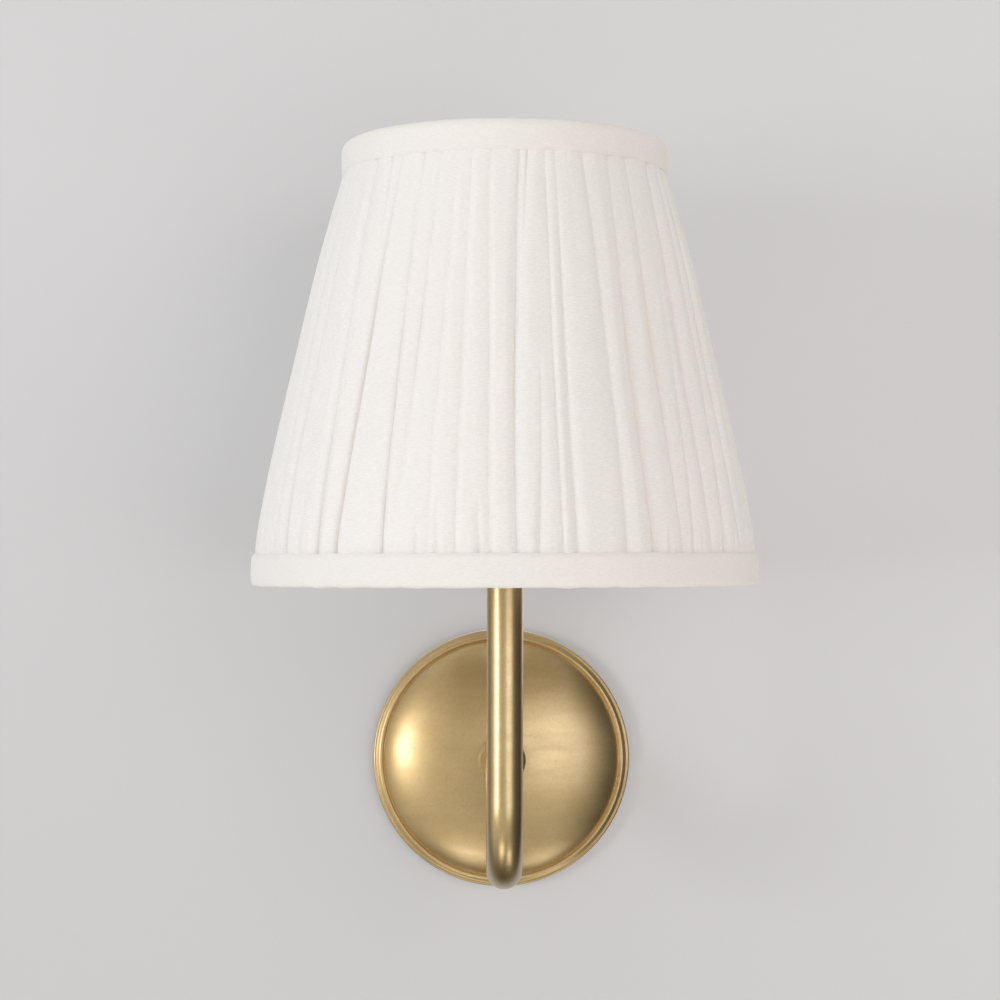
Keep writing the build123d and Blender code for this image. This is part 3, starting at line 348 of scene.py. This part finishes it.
def moulded(name, colour, roughness, texture=0.1, scale=1400.0):
    """Moulded or painted surface with a slight orange peel and uneven tone."""
    made = Material(name)
    place = made.vector("object")
    clouds = made.noise(place, 60.0, 3.0)
    darker = tuple(value * 0.86 for value in colour[:3]) + (1.0,)
    made.colour(made.mix(made.span(clouds, 0.3, 0.75), colour, darker))
    made.rough(made.span(clouds, 0.3, 0.7, roughness, roughness + 0.1))
    made.bump(made.noise(place, scale, 2.0), texture, 0.00005)
    return made.material


def clear_glass(name):
    """Thin clear bulb glass with faint waves."""
    made = Material(name)
    made.put(Roughness=0.0, IOR=1.02, Transmission_Weight=1.0)
    made.put(Coat_Weight=0.6, Coat_Roughness=0.02)
    place = made.vector("object")
    waves = made.noise(place, 60.0, 2.0)
    made.colour(made.mix(waves, (0.97, 0.98, 0.98, 1.0), (0.99, 0.99, 0.99, 1.0)))
    made.bump(waves, 0.05, 0.0002)
    return made.material


def glowless_filament(name):
    """Yellow phosphor coat of the unlit filaments."""
    made = Material(name)
    place = made.vector("object")
    grains = made.noise(place, 2500.0, 2.0)
    made.colour(made.mix(grains, srgb(236, 190, 88), srgb(214, 160, 60)))
    made.rough(made.span(grains, 0.3, 0.7, 0.5, 0.7))
    made.bump(grains, 0.2, 0.00005)
    return made.material


BRASS_PLATE = brass_material("aged_brass_plate", (1900, 1900, 1900), 0.15, 0.38)
BRASS_TUBE = brass_material("aged_brass_tube", (1300, 1300, 2600), 0.6, 0.33)
BRASS_PARTS = plain_metal("turned_brass", srgb(205, 172, 110), 0.3)
STEEL = plain_metal("zinc_steel", srgb(190, 192, 194), 0.35)
CAP_METAL = plain_metal("bulb_cap_metal", srgb(212, 212, 212), 0.28)
NYLON = moulded("block_nylon", srgb(232, 229, 219), 0.45)
SHEATH = moulded("flex_sheath", srgb(228, 225, 214), 0.5)
CORES = moulded("core_insulation", srgb(116, 88, 66), 0.45)
EARTH = moulded("earth_insulation", srgb(142, 166, 60), 0.45)
HOLDER = moulded("holder_plastic", srgb(236, 230, 214), 0.38, 0.15)
CERAMIC = moulded("holder_ceramic", srgb(238, 236, 229), 0.7, 0.3)
WIRE = moulded("frame_wire", srgb(236, 234, 228), 0.4, 0.2)
BLACK_GLASS = moulded("black_glass", srgb(30, 30, 32), 0.15)
GLASS = clear_glass("bulb_glass")
FILAMENT = glowless_filament("filament")
# The cover's linen has a painted shade in its creases.
LINEN = linen_material("linen", painted_crease_shade=True)
LINEN_BIAS = linen_material("linen_binding", angle=math.radians(45),
                            light=(240, 238, 235), shadow=(233, 230, 225))
LINING = linen_material("lining_fabric", light=(240, 237, 231), shadow=(233, 229, 222))

FINISH = {
    "turned_brass": BRASS_PARTS,
    "zinc_steel": STEEL,
    "bulb_cap_metal": CAP_METAL,
    "block_nylon": NYLON,
    "flex_sheath": SHEATH,
    "core_insulation": CORES,
    "earth_insulation": EARTH,
    "holder_plastic": HOLDER,
    "holder_ceramic": CERAMIC,
    "frame_wire": WIRE,
    "black_glass": BLACK_GLASS,
    "bulb_glass": GLASS,
    "filament": FILAMENT,
    "aged_brass": BRASS_TUBE,
    "linen": LINEN,
    "linen_binding": LINEN_BIAS,
    "lining_fabric": LINING,
}


def finish_cad_nodes():
    """Every node of the frame takes the material of its slot."""
    for part in frame["record"]["subparts"]:
        mesh = NODES[part["node"]].data
        mesh.materials.clear()
        mesh.materials.append(FINISH[part["material_slot"]])


finish_cad_nodes()


# ---- Wall plate ---------------------------------------------------------------------------------

def lathe_to_wall(name, outline, segments):
    """Closed solid turned about the Y axis, from outline points (radius, depth from the wall)."""
    outline = np.array(outline) * MM
    turn = np.linspace(0, 2 * math.pi, segments, endpoint=False)
    radius = outline[:, 0][:, None]
    depth = outline[:, 1][:, None]
    points = np.stack(np.broadcast_arrays(radius * np.cos(turn), -depth, radius * np.sin(turn)), axis=-1)
    uvs = np.stack(np.broadcast_arrays(turn / (2 * math.pi), run_along(outline)[:, None]), axis=-1)
    obj = grid_object(name, points, uvs, close_rows=True)
    fix_normals(obj)
    return obj


def smooth_line(points, steps):
    """Points of a smooth curve that passes through every given point."""
    points = np.array([points[0]] + list(points) + [points[-1]], float)
    found = []
    for before, start, end, after in zip(points, points[1:], points[2:], points[3:]):
        slope = end - before
        bend = 2 * before - 5 * start + 4 * end - after
        twist = 3 * start - before - 3 * end + after
        for t in np.arange(steps) / steps:
            found.append(0.5 * (2 * start + slope * t + bend * t ** 2 + twist * t ** 3))
    return [tuple(point) for point in found] + [tuple(points[-1])]


# The plate's section, in millimetres: an elliptical dome inside a rim, and a flat seat at its middle.
PLATE_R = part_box("wall_plate")[1].x / MM
DOME_RUN = 60.0
DOME_RISE = 22.0
SHEET = 1.2
DOME_EDGE_R = 56.6
SEAT_R = 11.7
BORE_R = 5.2
RIM_INSIDE = 5.0
WALL_INSIDE = 4.7
PLATE_SEGMENTS = 320
RIM_STEPS = 6
DOME_STEPS = 48
INSIDE_STEPS = 24
# The rim's section: distance in from the edge and depth from the wall. A low lip, a narrow groove, a
# bead with a long outer flank, and a fine crease at the foot of the dome.
RIM = [
    (0.0, 5.0), (0.12, 5.75), (0.7, 6.15), (1.25, 5.98), (1.6, 5.98), (2.3, 6.45),
    (3.0, 6.95), (3.6, 7.15), (4.3, 7.0), (4.85, 6.5), (5.2, 6.3), (5.5, 6.6),
]


def dome(radius, inset=0.0):
    """Depth of the dome at a radius, or of its inner side where the inset is the sheet's thickness."""
    return (DOME_RISE - inset) * math.sqrt(1 - (radius / (DOME_RUN - inset)) ** 2)


def plate_outline():
    """Section of the plate, from the rim at the wall, over the bead and dome, and back inside."""
    outline = [(PLATE_R, 0.0)]
    outline += smooth_line([(PLATE_R - inwards, depth) for inwards, depth in RIM], RIM_STEPS)
    for step in range(DOME_STEPS):
        angle = math.radians(step * 90 / DOME_STEPS)
        radius = SEAT_R + (DOME_EDGE_R - SEAT_R) * math.cos(angle) ** 0.8
        outline.append((radius, dome(radius)))
    seat = dome(SEAT_R)
    outline += [(SEAT_R, seat), (BORE_R, seat), (BORE_R, seat - SHEET), (SEAT_R, seat - SHEET)]
    for step in range(1, INSIDE_STEPS + 1):
        angle = math.radians(step * 90 / INSIDE_STEPS)
        radius = SEAT_R + (DOME_EDGE_R - 1.0 - SEAT_R) * math.sin(angle)
        outline.append((radius, dome(radius, SHEET)))
    outline += [(DOME_EDGE_R, RIM_INSIDE), (PLATE_R - SHEET, WALL_INSIDE), (PLATE_R - SHEET, 0.0)]
    return outline


wall_plate = lathe_to_wall("wall_plate_spun", plate_outline(), PLATE_SEGMENTS)
wall_plate.data.materials.append(BRASS_PLATE)
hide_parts("wall_plate")
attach(wall_plate, WALL_BODY)


# ---- Pleated cover ------------------------------------------------------------------------------

COVER_COLUMNS = 1400
COVER_ROWS = 120
COVER_LOW = BOTTOM_SEAM - 8 * MM        # the cloth goes on under both bindings
COVER_HIGH = TOP_SEAM + 5 * MM
CLOTH = 0.55 * MM
FRAME_GAP = 1.75 * MM                   # least distance from the frame's line, however deep a crease is
CREST_BLUR = 9                          # rows over which the line of the crests is rounded
WAVE = 0.25 * MM                        # slow unevenness of the cloth
WAVE_FADE = 20 * MM                     # it fades out over this height at the seams
TUCK = 0.5 * MM                         # how far the cloth goes in under the bindings
TUCK_RUN = 3 * MM
# Painted shade: a crease this deep takes the full painted crease colour.
FULL_PAINTED_SHADE_DEPTH = 3.4 * MM                    # a crease this deep takes the full tint
UV_RADIUS = 0.09                        # mean radius of the shade, for the weave's scale

# Height and radius of the pleats' crests, in millimetres.
CREST_LINE = [
    (91, 109.6), (99.5, 109.75), (107, 109.1), (116, 107.5), (130, 104.9), (145, 101.7),
    (166, 96.9), (184, 92.6), (205, 87.8), (220, 84.3), (233, 80.9), (246, 77.2),
    (255, 74.6), (262, 72.4), (266.5, 71.2), (272, 70.6),
]

# Creases at the front, each at the top, in the middle and at the bottom: azimuths in degrees from the
# front and depths in millimetres, then how far the flanks reach to the left and right in millimetres.
CREASE_LEVELS = [262.0, 185.0, 105.0]
FRONT_CREASES = [
    ((-79, -77, -73), (0.5, 1, 1), 5, 4),
    ((-67, -65.5, -63.5), (0.5, 0.5, 1), 5, 3),
    ((-59, -59.5, -58), (0, 1, 2.5), 5.5, 3.5),
    ((-50, -47, -46), (1, 1.5, 2.5), 5, 5),
    ((-42.5, -39, -39), (1, 0.5, 0), 3.5, 3),
    ((-38, -38.5, -40), (0.5, 3, 3), 9, 2.5),
    ((-29, -28.5, -28), (1, 2, 2.5), 7, 3),
    ((-22.5, -23.5, -25), (1, 2, 0.5), 6, 3),
    ((-16, -17, -17.5), (0.5, 1.5, 1), 6.5, 3),
    ((-11.5, -11.5, -11.5), (0.5, 1.5, 1.5), 5, 3),
    ((-5.5, -5, -4), (1, 2, 1.5), 6, 3),
    ((4, 1.5, 1.5), (1, 2.5, 2), 4, 6),
    ((6.5, 3, 3), (1, 0, 0), 2.5, 4),
    ((8, 8, 6.5), (0, 0, 1.5), 3, 4.5),
    ((12.5, 11.5, 11.5), (0.5, 1, 1), 5, 3),
    ((16, 14.5, 14.5), (0.5, 1.5, 2), 5, 5),
    ((26, 26, 26), (1, 1.5, 1.5), 7, 7),
    ((36, 33, 33), (1, 2.5, 2.5), 8, 8),
    ((44.5, 41.5, 41), (1, 3, 1.5), 7, 7),
    ((50, 47.5, 45), (0, 0.5, 2), 5, 5),
    ((57.5, 53, 51.5), (1.5, 3, 2), 8, 6),
    ((60, 60, 57.5), (0, 0.5, 3), 6, 5),
    ((65, 61, 60), (1, 1, 0), 4, 4),
    ((72, 68, 65), (1, 3.5, 1), 8, 4),
    ((77, 74, 71), (1, 1, 1), 5, 5),
    ((80.5, 78.5, 77.5), (0.5, 1, 1), 4, 4),
]
# Short puckers that rise from the bottom seam: azimuth, depth and length, in degrees and millimetres.
FRONT_PUCKERS = [
    (-67, 0.8, 14), (-65, 0.7, 12), (-52, 1.2, 26), (-20, 1.4, 18), (-15.5, 1.6, 20), (-6.5, 2.0, 24),
    (11, 0.7, 10), (12.8, 0.6, 10), (37, 0.8, 12), (39, 0.5, 10), (47.5, 0.9, 12), (54, 0.9, 12),
    (55.6, 1.0, 14), (62, 1.0, 14), (65.5, 0.8, 12), (68, 0.7, 10),
]
PUCKER_REACH = 3.2 * MM
BACK_FROM = 82.0
BACK_TO = 276.0
BACK_PUCKERS = 26
# Small gathers under the top binding: spacing in degrees, height and reach.
GATHER_SPACING = 4.1
GATHER_HEIGHT = 16 * MM
GATHER_REACH = 2.2 * MM
# A crease is a narrow fold in a wide, soft one: their shares of the depth, and the narrow one's width.
TIGHT_SHARE = 0.28
LOOSE_SHARE = 0.72
TIGHTNESS = 3.2
SHARPNESS = 4.0                         # how crisply creases that run together meet


def back_creases(dice):
    """Creases round the sides and back, as uneven as those in front."""
    found = []
    azimuth = BACK_FROM
    while azimuth < BACK_TO:
        drift = dice.uniform(-2.5, 2.5)
        places = [azimuth + drift * share for share in (1.0, 0.1, -0.8)]
        depths = [dice.uniform(0.4, 1.0), dice.uniform(0.9, 2.8), dice.uniform(0.9, 3.2)]
        found.append((places, depths, dice.uniform(4, 8), dice.uniform(2.5, 6)))
        azimuth += dice.uniform(4.5, 10.5)
    return found


def back_puckers(dice):
    """Puckers like those in front."""
    found = []
    for _ in range(BACK_PUCKERS):
        place = dice.uniform(BACK_FROM, BACK_TO)
        found.append((place, dice.uniform(0.8, 2.2), dice.uniform(10, 24)))
    return found


def crease_field(azimuth, height, radius):
    """How far the cloth goes in at each point, in metres, from all creases, puckers and gathers."""
    dice = random.Random(11)
    total = np.zeros(azimuth.shape)
    rows = height[:, 0]
    levels = np.array(CREASE_LEVELS[::-1]) * MM

    def add(centre, depth, left, right):
        nonlocal total
        away = (np.degrees(azimuth) - centre[:, None] + 180) % 360 - 180
        distance = np.radians(away) * radius
        share = np.abs(distance) / np.where(distance < 0, left, right)
        tight = np.clip(1 - share * TIGHTNESS, 0, 1) ** 1.6
        loose = np.clip(1 - share, 0, 1) ** 1.7
        total += (depth[:, None] * (TIGHT_SHARE * tight + LOOSE_SHARE * loose)) ** SHARPNESS

    for places, depths, left, right in FRONT_CREASES + back_creases(dice):
        curve = np.polyfit(levels, places[::-1], 2)
        quiver = 0.06 * np.sin(rows * dice.uniform(15, 45) + dice.uniform(0, 6))
        depth = np.interp(rows, levels, np.array(depths[::-1]) * MM)
        add(np.polyval(curve, rows) + quiver, depth, left * MM, right * MM)
    for place, deep, long in FRONT_PUCKERS + back_puckers(dice):
        share = np.clip(1 - (rows - BOTTOM_SEAM) / (long * MM), 0, 1)
        add(np.full(rows.shape, place), deep * MM * share ** 0.8, PUCKER_REACH, PUCKER_REACH)
    for place in np.arange(0, 360, GATHER_SPACING):
        share = np.clip((rows - (TOP_SEAM - GATHER_HEIGHT)) / GATHER_HEIGHT, 0, 1)
        place += dice.uniform(-1.2, 1.2)
        depth = dice.uniform(0.1, 0.4) * MM * share
        add(np.full(rows.shape, place), depth, GATHER_REACH, GATHER_REACH)
    return total ** (1 / SHARPNESS)


NEARLY_A_TURN = 6.28                    # radians


def soft_waves(azimuth, height, seed):
    """Slow unevenness of stretched cloth, about -1 to 1."""
    dice = random.Random(seed)
    waves = np.zeros(azimuth.shape)
    for _ in range(9):
        around = dice.randint(9, 60)
        up = dice.uniform(-60, 60)
        waves += np.sin(around * azimuth + up * height + dice.uniform(0, NEARLY_A_TURN)) / 3
    return waves / 2


def make_cover():
    """The gathered cloth's outer face, from under the bottom binding to under the top one."""
    heights = np.linspace(COVER_LOW, COVER_HIGH, COVER_ROWS)
    azimuths = np.linspace(-math.pi, math.pi, COVER_COLUMNS, endpoint=False)
    azimuth, height = np.meshgrid(azimuths, heights)
    line = np.array(CREST_LINE) * MM
    crest = np.interp(heights, line[:, 0], line[:, 1])
    crest = np.pad(crest, CREST_BLUR // 2, mode="edge")
    crest = np.convolve(crest, np.ones(CREST_BLUR) / CREST_BLUR, mode="valid")
    radius = np.repeat(crest[:, None], COVER_COLUMNS, axis=1)
    going_in = crease_field(azimuth, height, radius)
    over_bottom = height - BOTTOM_SEAM
    under_top = TOP_SEAM - height
    waves = soft_waves(azimuth, height, 5) * WAVE
    waves = waves * np.clip(over_bottom / WAVE_FADE, 0, 1) * np.clip(under_top / WAVE_FADE, 0, 1)
    tucked = np.clip(-over_bottom / TUCK_RUN, 0, 1) + np.clip(-under_top / TUCK_RUN, 0, 1)
    surface = radius - going_in + waves - tucked * TUCK
    surface = np.maximum(surface, frame_radius(heights)[:, None] + FRAME_GAP)
    points = around_lamp(surface, azimuth, height)
    uvs = np.stack([azimuth * UV_RADIUS, height], axis=-1)
    # Each point keeps its crease depth for the painted shade in the creases.
    return grid_object("pleated_cover_cloth", points, uvs, painted_crease_shade=going_in / FULL_PAINTED_SHADE_DEPTH)


cover = make_cover()
thicken(cover, CLOTH)
cover.data.materials.append(LINEN)
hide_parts("pleated_cover")
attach(cover, SHADE_BODY)


# ---- Bindings and lining ------------------------------------------------------------------------

BAND_SEGMENTS = 720
SAG_AT = math.radians(-28)              # the bottom band hangs lowest at this azimuth


def ring_of_cloth(name, outline, seed, in_and_out, up_and_down, sag):
    """Closed band round the lamp axis from outline points (radius, height), with a hand-sewn waviness.

    The sag lets it hang lower at the front left and ride higher opposite. Its three amounts are in
    millimetres."""
    outline = np.array(outline) * MM
    azimuth = np.linspace(-math.pi, math.pi, BAND_SEGMENTS, endpoint=False)
    turn, radius = np.meshgrid(azimuth, outline[:, 0])
    height = np.repeat(outline[:, 1][:, None], BAND_SEGMENTS, axis=1)
    waves = soft_waves(turn, height * 0.3, seed)
    ripples = soft_waves(turn * 5, height * 0.3, seed + 1)
    radius = radius + in_and_out * MM * waves + in_and_out * 0.4 * MM * ripples
    height = height + up_and_down * MM * soft_waves(turn, 0 * height, seed + 2)
    height = height - sag * MM * np.cos(turn - SAG_AT)
    uvs = np.stack(np.broadcast_arrays(turn * outline[0, 0], run_along(outline)[:, None]), axis=-1)
    obj = grid_object(name, around_lamp(radius, turn, height), uvs, close_rows=True)
    fix_normals(obj)
    return obj


def rounded(corners, steps):
    """Closed outline through corners (radius, height, rounding), each rounded by a quadratic curve."""
    points = np.array([corner[:2] for corner in corners], float)
    found = []
    for k, here in enumerate(points):
        before = points[k - 1]
        after = points[(k + 1) % len(points)]
        radius = corners[k][2]
        if radius == 0:
            found.append(tuple(here))
            continue
        start = here + (before - here) / np.linalg.norm(before - here) * radius
        end = here + (after - here) / np.linalg.norm(after - here) * radius
        for t in np.linspace(0, 1, steps):
            found.append(tuple((1 - t) ** 2 * start + 2 * t * (1 - t) * here + t ** 2 * end))
    return found


def top_outline():
    """Section of the top band: a tall outer side, a rolled top and a short side inside the frame."""
    seam = TOP_SEAM / MM
    top = SHADE_HIGH / MM
    roof = top - 1.9
    outer = TOP_BINDING_R / MM
    inner = frame_radius(SHADE_HIGH) / MM - 3.7
    low_inside = frame_radius(TOP_SEAM) / MM - 3.6
    corners = [
        (69.0, seam + 0.8, 0),
        (71.4, seam, 0.15),
        (outer - 0.1, seam + 1.4, 0.7),
        (outer, top, 5.0),
        (inner, top, 2.6),
        (low_inside, seam, 0.3),
        (low_inside + 1.0, seam, 0.3),
        (inner + 1.4, roof, 0.5),
        (70.3, roof, 0.5),
    ]
    return rounded(corners, 8)


def bottom_outline():
    """Section of the bottom band: an outer side, the hem, and a leg that turns up inside the frame."""
    seam = BOTTOM_SEAM / MM - 0.6
    low = SHADE_LOW / MM - 0.6
    outer = BOTTOM_BINDING_R / MM - 0.1
    leg = frame_radius(89 * MM) / MM - 2.6
    leg_top = 89.8
    corners = [
        (107.2, seam - 0.8, 0),
        (110.0, seam, 0.15),
        (outer - 0.3, seam - 1.5, 0.7),
        (outer, low + 4, 1.2),
        (outer - 0.6, low, 2.0),
        (leg - 1.2, low, 1.6),
        (leg - 1.2, leg_top, 0.3),
        (leg, leg_top, 0.3),
        (leg, low + 1.8, 0.3),
        (109.9, low + 1.8, 0.3),
    ]
    return rounded(corners, 6)


top_binding = ring_of_cloth("top_binding_cloth", top_outline(), 21, 0.12, 0.15, 0.0)
bottom_binding = ring_of_cloth("bottom_binding_cloth", bottom_outline(), 31, 0.18, 0.3, 0.55)
for band, node in ((top_binding, "top_binding"), (bottom_binding, "bottom_binding")):
    band.data.materials.append(LINEN_BIAS)
    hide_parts(node)
    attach(band, SHADE_BODY)


LINING_ROWS = 60
LINING_COLUMNS = 360
LINING_GAP = 2.1 * MM                   # how far the lining lies inside the frame's line
LINING_END = 0.5 * MM
PULL = 0.25 * MM                        # how far it draws in between the strut wires
LINING_WAVE = 0.15 * MM
LINING_CLOTH = 0.3 * MM
STRUTS = 6


def make_lining():
    """Stretched cloth inside the frame, drawn in slightly between the strut wires."""
    low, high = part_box("shade_lining")
    heights = np.linspace(low.z + LINING_END, high.z - LINING_END, LINING_ROWS)
    azimuths = np.linspace(-math.pi, math.pi, LINING_COLUMNS, endpoint=False)
    azimuth, height = np.meshgrid(azimuths, heights)
    pull = PULL * np.cos(STRUTS * azimuth) + LINING_WAVE * soft_waves(azimuth, height, 44)
    radius = frame_radius(height) - LINING_GAP - np.abs(pull)
    uvs = np.stack([azimuth * UV_RADIUS, height], axis=-1)
    return grid_object("shade_lining_cloth", around_lamp(radius, azimuth, height), uvs)


lining = make_lining()
thicken(lining, LINING_CLOTH)
lining.data.materials.append(LINING)
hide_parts("shade_lining")
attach(lining, SHADE_BODY)


# ---- Stage, lights and camera -------------------------------------------------------------------

def wall_material():
    """Pale wall, seen and lit from the room, and clear from behind. Its colour darkens towards the lower
    left as a painted shade, and it glows faintly in that colour as a painted light.
    """
    made = Material("wall_with_painted_shade_and_glow")
    made.put(Roughness=0.9)
    place = made.vector("object")
    split = made.node("ShaderNodeSeparateXYZ")
    made.link(place, split.inputs["Vector"])
    # Painted shade: the wall's colour darkens towards the lower left, with a little noise.
    rise = made.math("ADD", made.math("MULTIPLY", split.outputs["X"], 0.35), split.outputs["Z"])
    rise = made.math("ADD", rise, made.math("MULTIPLY", made.noise(place, 3.0, 4.0), 0.1))
    paint = made.mix(made.span(rise, -0.2, 0.25), srgb(176, 176, 177), srgb(187, 187, 188))
    made.colour(paint)
    # Painted light: the wall glows faintly in its own colour.
    made.link(paint, made.shader.inputs["Emission Color"])
    made.put(Emission_Strength=0.3)
    clear = made.node("ShaderNodeBsdfTransparent")
    behind = made.node("ShaderNodeNewGeometry").outputs["Backfacing"]
    mixed = made.node("ShaderNodeMixShader")
    made.link(behind, mixed.inputs[0])
    made.link(made.shader.outputs[0], mixed.inputs[1])
    made.link(clear.outputs[0], mixed.inputs[2])
    made.link(mixed.outputs[0], made.tree.nodes["Material Output"].inputs["Surface"])
    return made.material


def stage_plane(name, corners, material):
    """Flat stage piece that metal doesn't mirror."""
    mesh = bpy.data.meshes.new(name)
    mesh.from_pydata(corners, [], [(0, 1, 2, 3)])
    mesh.materials.append(material)
    obj = new_object(name, mesh)
    obj.visible_glossy = False
    return obj


WALL_HALF = 2.6
WALL_TOP = 2.2
FLOOR_Z = -1.3
FLOOR_HALF = 4.0
CORNER_SIGNS = ((-1, -1), (1, -1), (1, 1), (-1, 1))
WALL_CORNERS = [(x * WALL_HALF, 0, WALL_TOP if z > 0 else FLOOR_Z) for x, z in CORNER_SIGNS]
FLOOR_CORNERS = [(x * FLOOR_HALF, y * FLOOR_HALF, FLOOR_Z) for x, y in CORNER_SIGNS]

wall = stage_plane("stage_wall", WALL_CORNERS, wall_material())
wall.visible_shadow = False
stage_plane("stage_floor", FLOOR_CORNERS, moulded("floor_paint", srgb(222, 221, 219), 0.8))

CAMERA_PLACE = Vector((-0.016, -1.195, 0.0916))
CAMERA_PITCH = math.radians(1.652)
CAMERA_YAW = math.radians(0.74)
FOCAL_PIXELS = 2427.0
IMAGE_SIZE = 1000.0
SENSOR = 36.0


def make_camera():
    """Camera in front of the lamp, level with the shade's lower edge and looking slightly up."""
    data = bpy.data.cameras.new("camera")
    data.sensor_fit = "HORIZONTAL"
    data.sensor_width = SENSOR
    data.lens = FOCAL_PIXELS / IMAGE_SIZE * SENSOR
    data.clip_start = 0.01
    camera = bpy.data.objects.new("camera", data)
    bpy.context.scene.collection.objects.link(camera)
    ahead = Vector((math.sin(CAMERA_YAW) * math.cos(CAMERA_PITCH),
                    math.cos(CAMERA_YAW) * math.cos(CAMERA_PITCH), math.sin(CAMERA_PITCH)))
    camera.location = CAMERA_PLACE
    camera.rotation_euler = ahead.to_track_quat("-Z", "Y").to_euler()
    bpy.context.scene.camera = camera


make_camera()

LAMP_TARGET = Vector((0, -0.06, 0.08))


def area_light(name, bearing, elevation, distance, size, power, colour=(1, 1, 1)):
    """Soft lamp aimed at the middle of the object. Bearing is in degrees from the front towards +X."""
    data = bpy.data.lights.new(name, "AREA")
    data.shape = "ELLIPSE"
    data.size, data.size_y = size
    data.energy = power
    data.color = colour
    lamp = bpy.data.objects.new(name, data)
    bpy.context.scene.collection.objects.link(lamp)
    turn, lift = math.radians(bearing), math.radians(elevation)
    away = Vector((math.sin(turn) * math.cos(lift), -math.cos(turn) * math.cos(lift), math.sin(lift)))
    lamp.location = LAMP_TARGET + away * distance
    lamp.rotation_euler = (-away).to_track_quat("-Z", "Y").to_euler()
    lamp.visible_camera = False
    return lamp


area_light("key", -54, 0, 3.4, (1.1, 1.1), 29, (0.99, 0.99, 1.01))
area_light("fill", 26, 1, 2.6, (1.9, 1.8), 12, (0.97, 0.985, 1.05))
area_light("bounce_left", -30, -61, 1.25, (0.5, 0.35), 1.25, (1.0, 0.96, 0.9))
area_light("bounce_right", 52, -66, 1.25, (0.5, 0.35), 1.0, (1.0, 0.96, 0.9))
area_light("overhead", -10, 62, 1.9, (2.2, 1.6), 4)
area_light("behind", 170, 10, 2.2, (1.6, 1.6), 5)
area_light("soft_side", -84, 8, 2.6, (1.6, 1.6), 10, (0.97, 0.99, 1.05)).visible_glossy = False
area_light("soft_fill", 40, 2, 2.6, (3.0, 3.0), 20, (1.0, 0.865, 0.76)).visible_glossy = False

WORLD_COLOUR = (1.0, 0.985, 0.96, 1)
WORLD_STRENGTH = 0.56
# The surroundings darken along an axis, from one direction to another, down to a share of their strength.
WORLD_DIMMING = [
    ("X", 0.4, 0.8, 0.16),
    ("Z", -0.6, -0.95, 0.25),
    ("Y", 0.0, 0.3, 0.35),
]
WORLD_BEHIND = ("Y", 0.45, 0.8, 0.55)   # a pale wall far behind, by the same four values
SEEN_COLOUR = srgb(232, 232, 231)


def make_world():
    """Pale surroundings that darken to the right, to the ground and behind, with a pale wall beyond.

    The camera sees a plain pale colour in their place."""
    world = bpy.data.worlds.new("surroundings")
    bpy.context.scene.world = world
    world.use_nodes = True
    made = Nodes(world.node_tree)
    light = made.tree.nodes["Background"]
    light.inputs["Color"].default_value = WORLD_COLOUR
    toward = made.node("ShaderNodeSeparateXYZ")
    made.link(made.node("ShaderNodeTexCoord").outputs["Generated"], toward.inputs[0])
    strength = WORLD_STRENGTH
    for axis, start, end, share in WORLD_DIMMING:
        level = made.span(toward.outputs[axis], start, end, 1.0, share, "SMOOTHSTEP")
        strength = made.math("MULTIPLY", level, strength)
    axis, start, end, most = WORLD_BEHIND
    beyond = made.span(toward.outputs[axis], start, end, 0.0, most, "SMOOTHSTEP")
    made.link(made.math("MAXIMUM", strength, beyond), light.inputs["Strength"])
    seen = made.node("ShaderNodeBackground")
    seen.inputs["Color"].default_value = SEEN_COLOUR
    mixed = made.node("ShaderNodeMixShader")
    made.link(made.node("ShaderNodeLightPath").outputs["Is Camera Ray"], mixed.inputs[0])
    made.link(light.outputs[0], mixed.inputs[1])
    made.link(seen.outputs[0], mixed.inputs[2])
    made.link(mixed.outputs[0], made.tree.nodes["World Output"].inputs["Surface"])


make_world()
bpy.context.scene.view_settings.view_transform = "Standard"
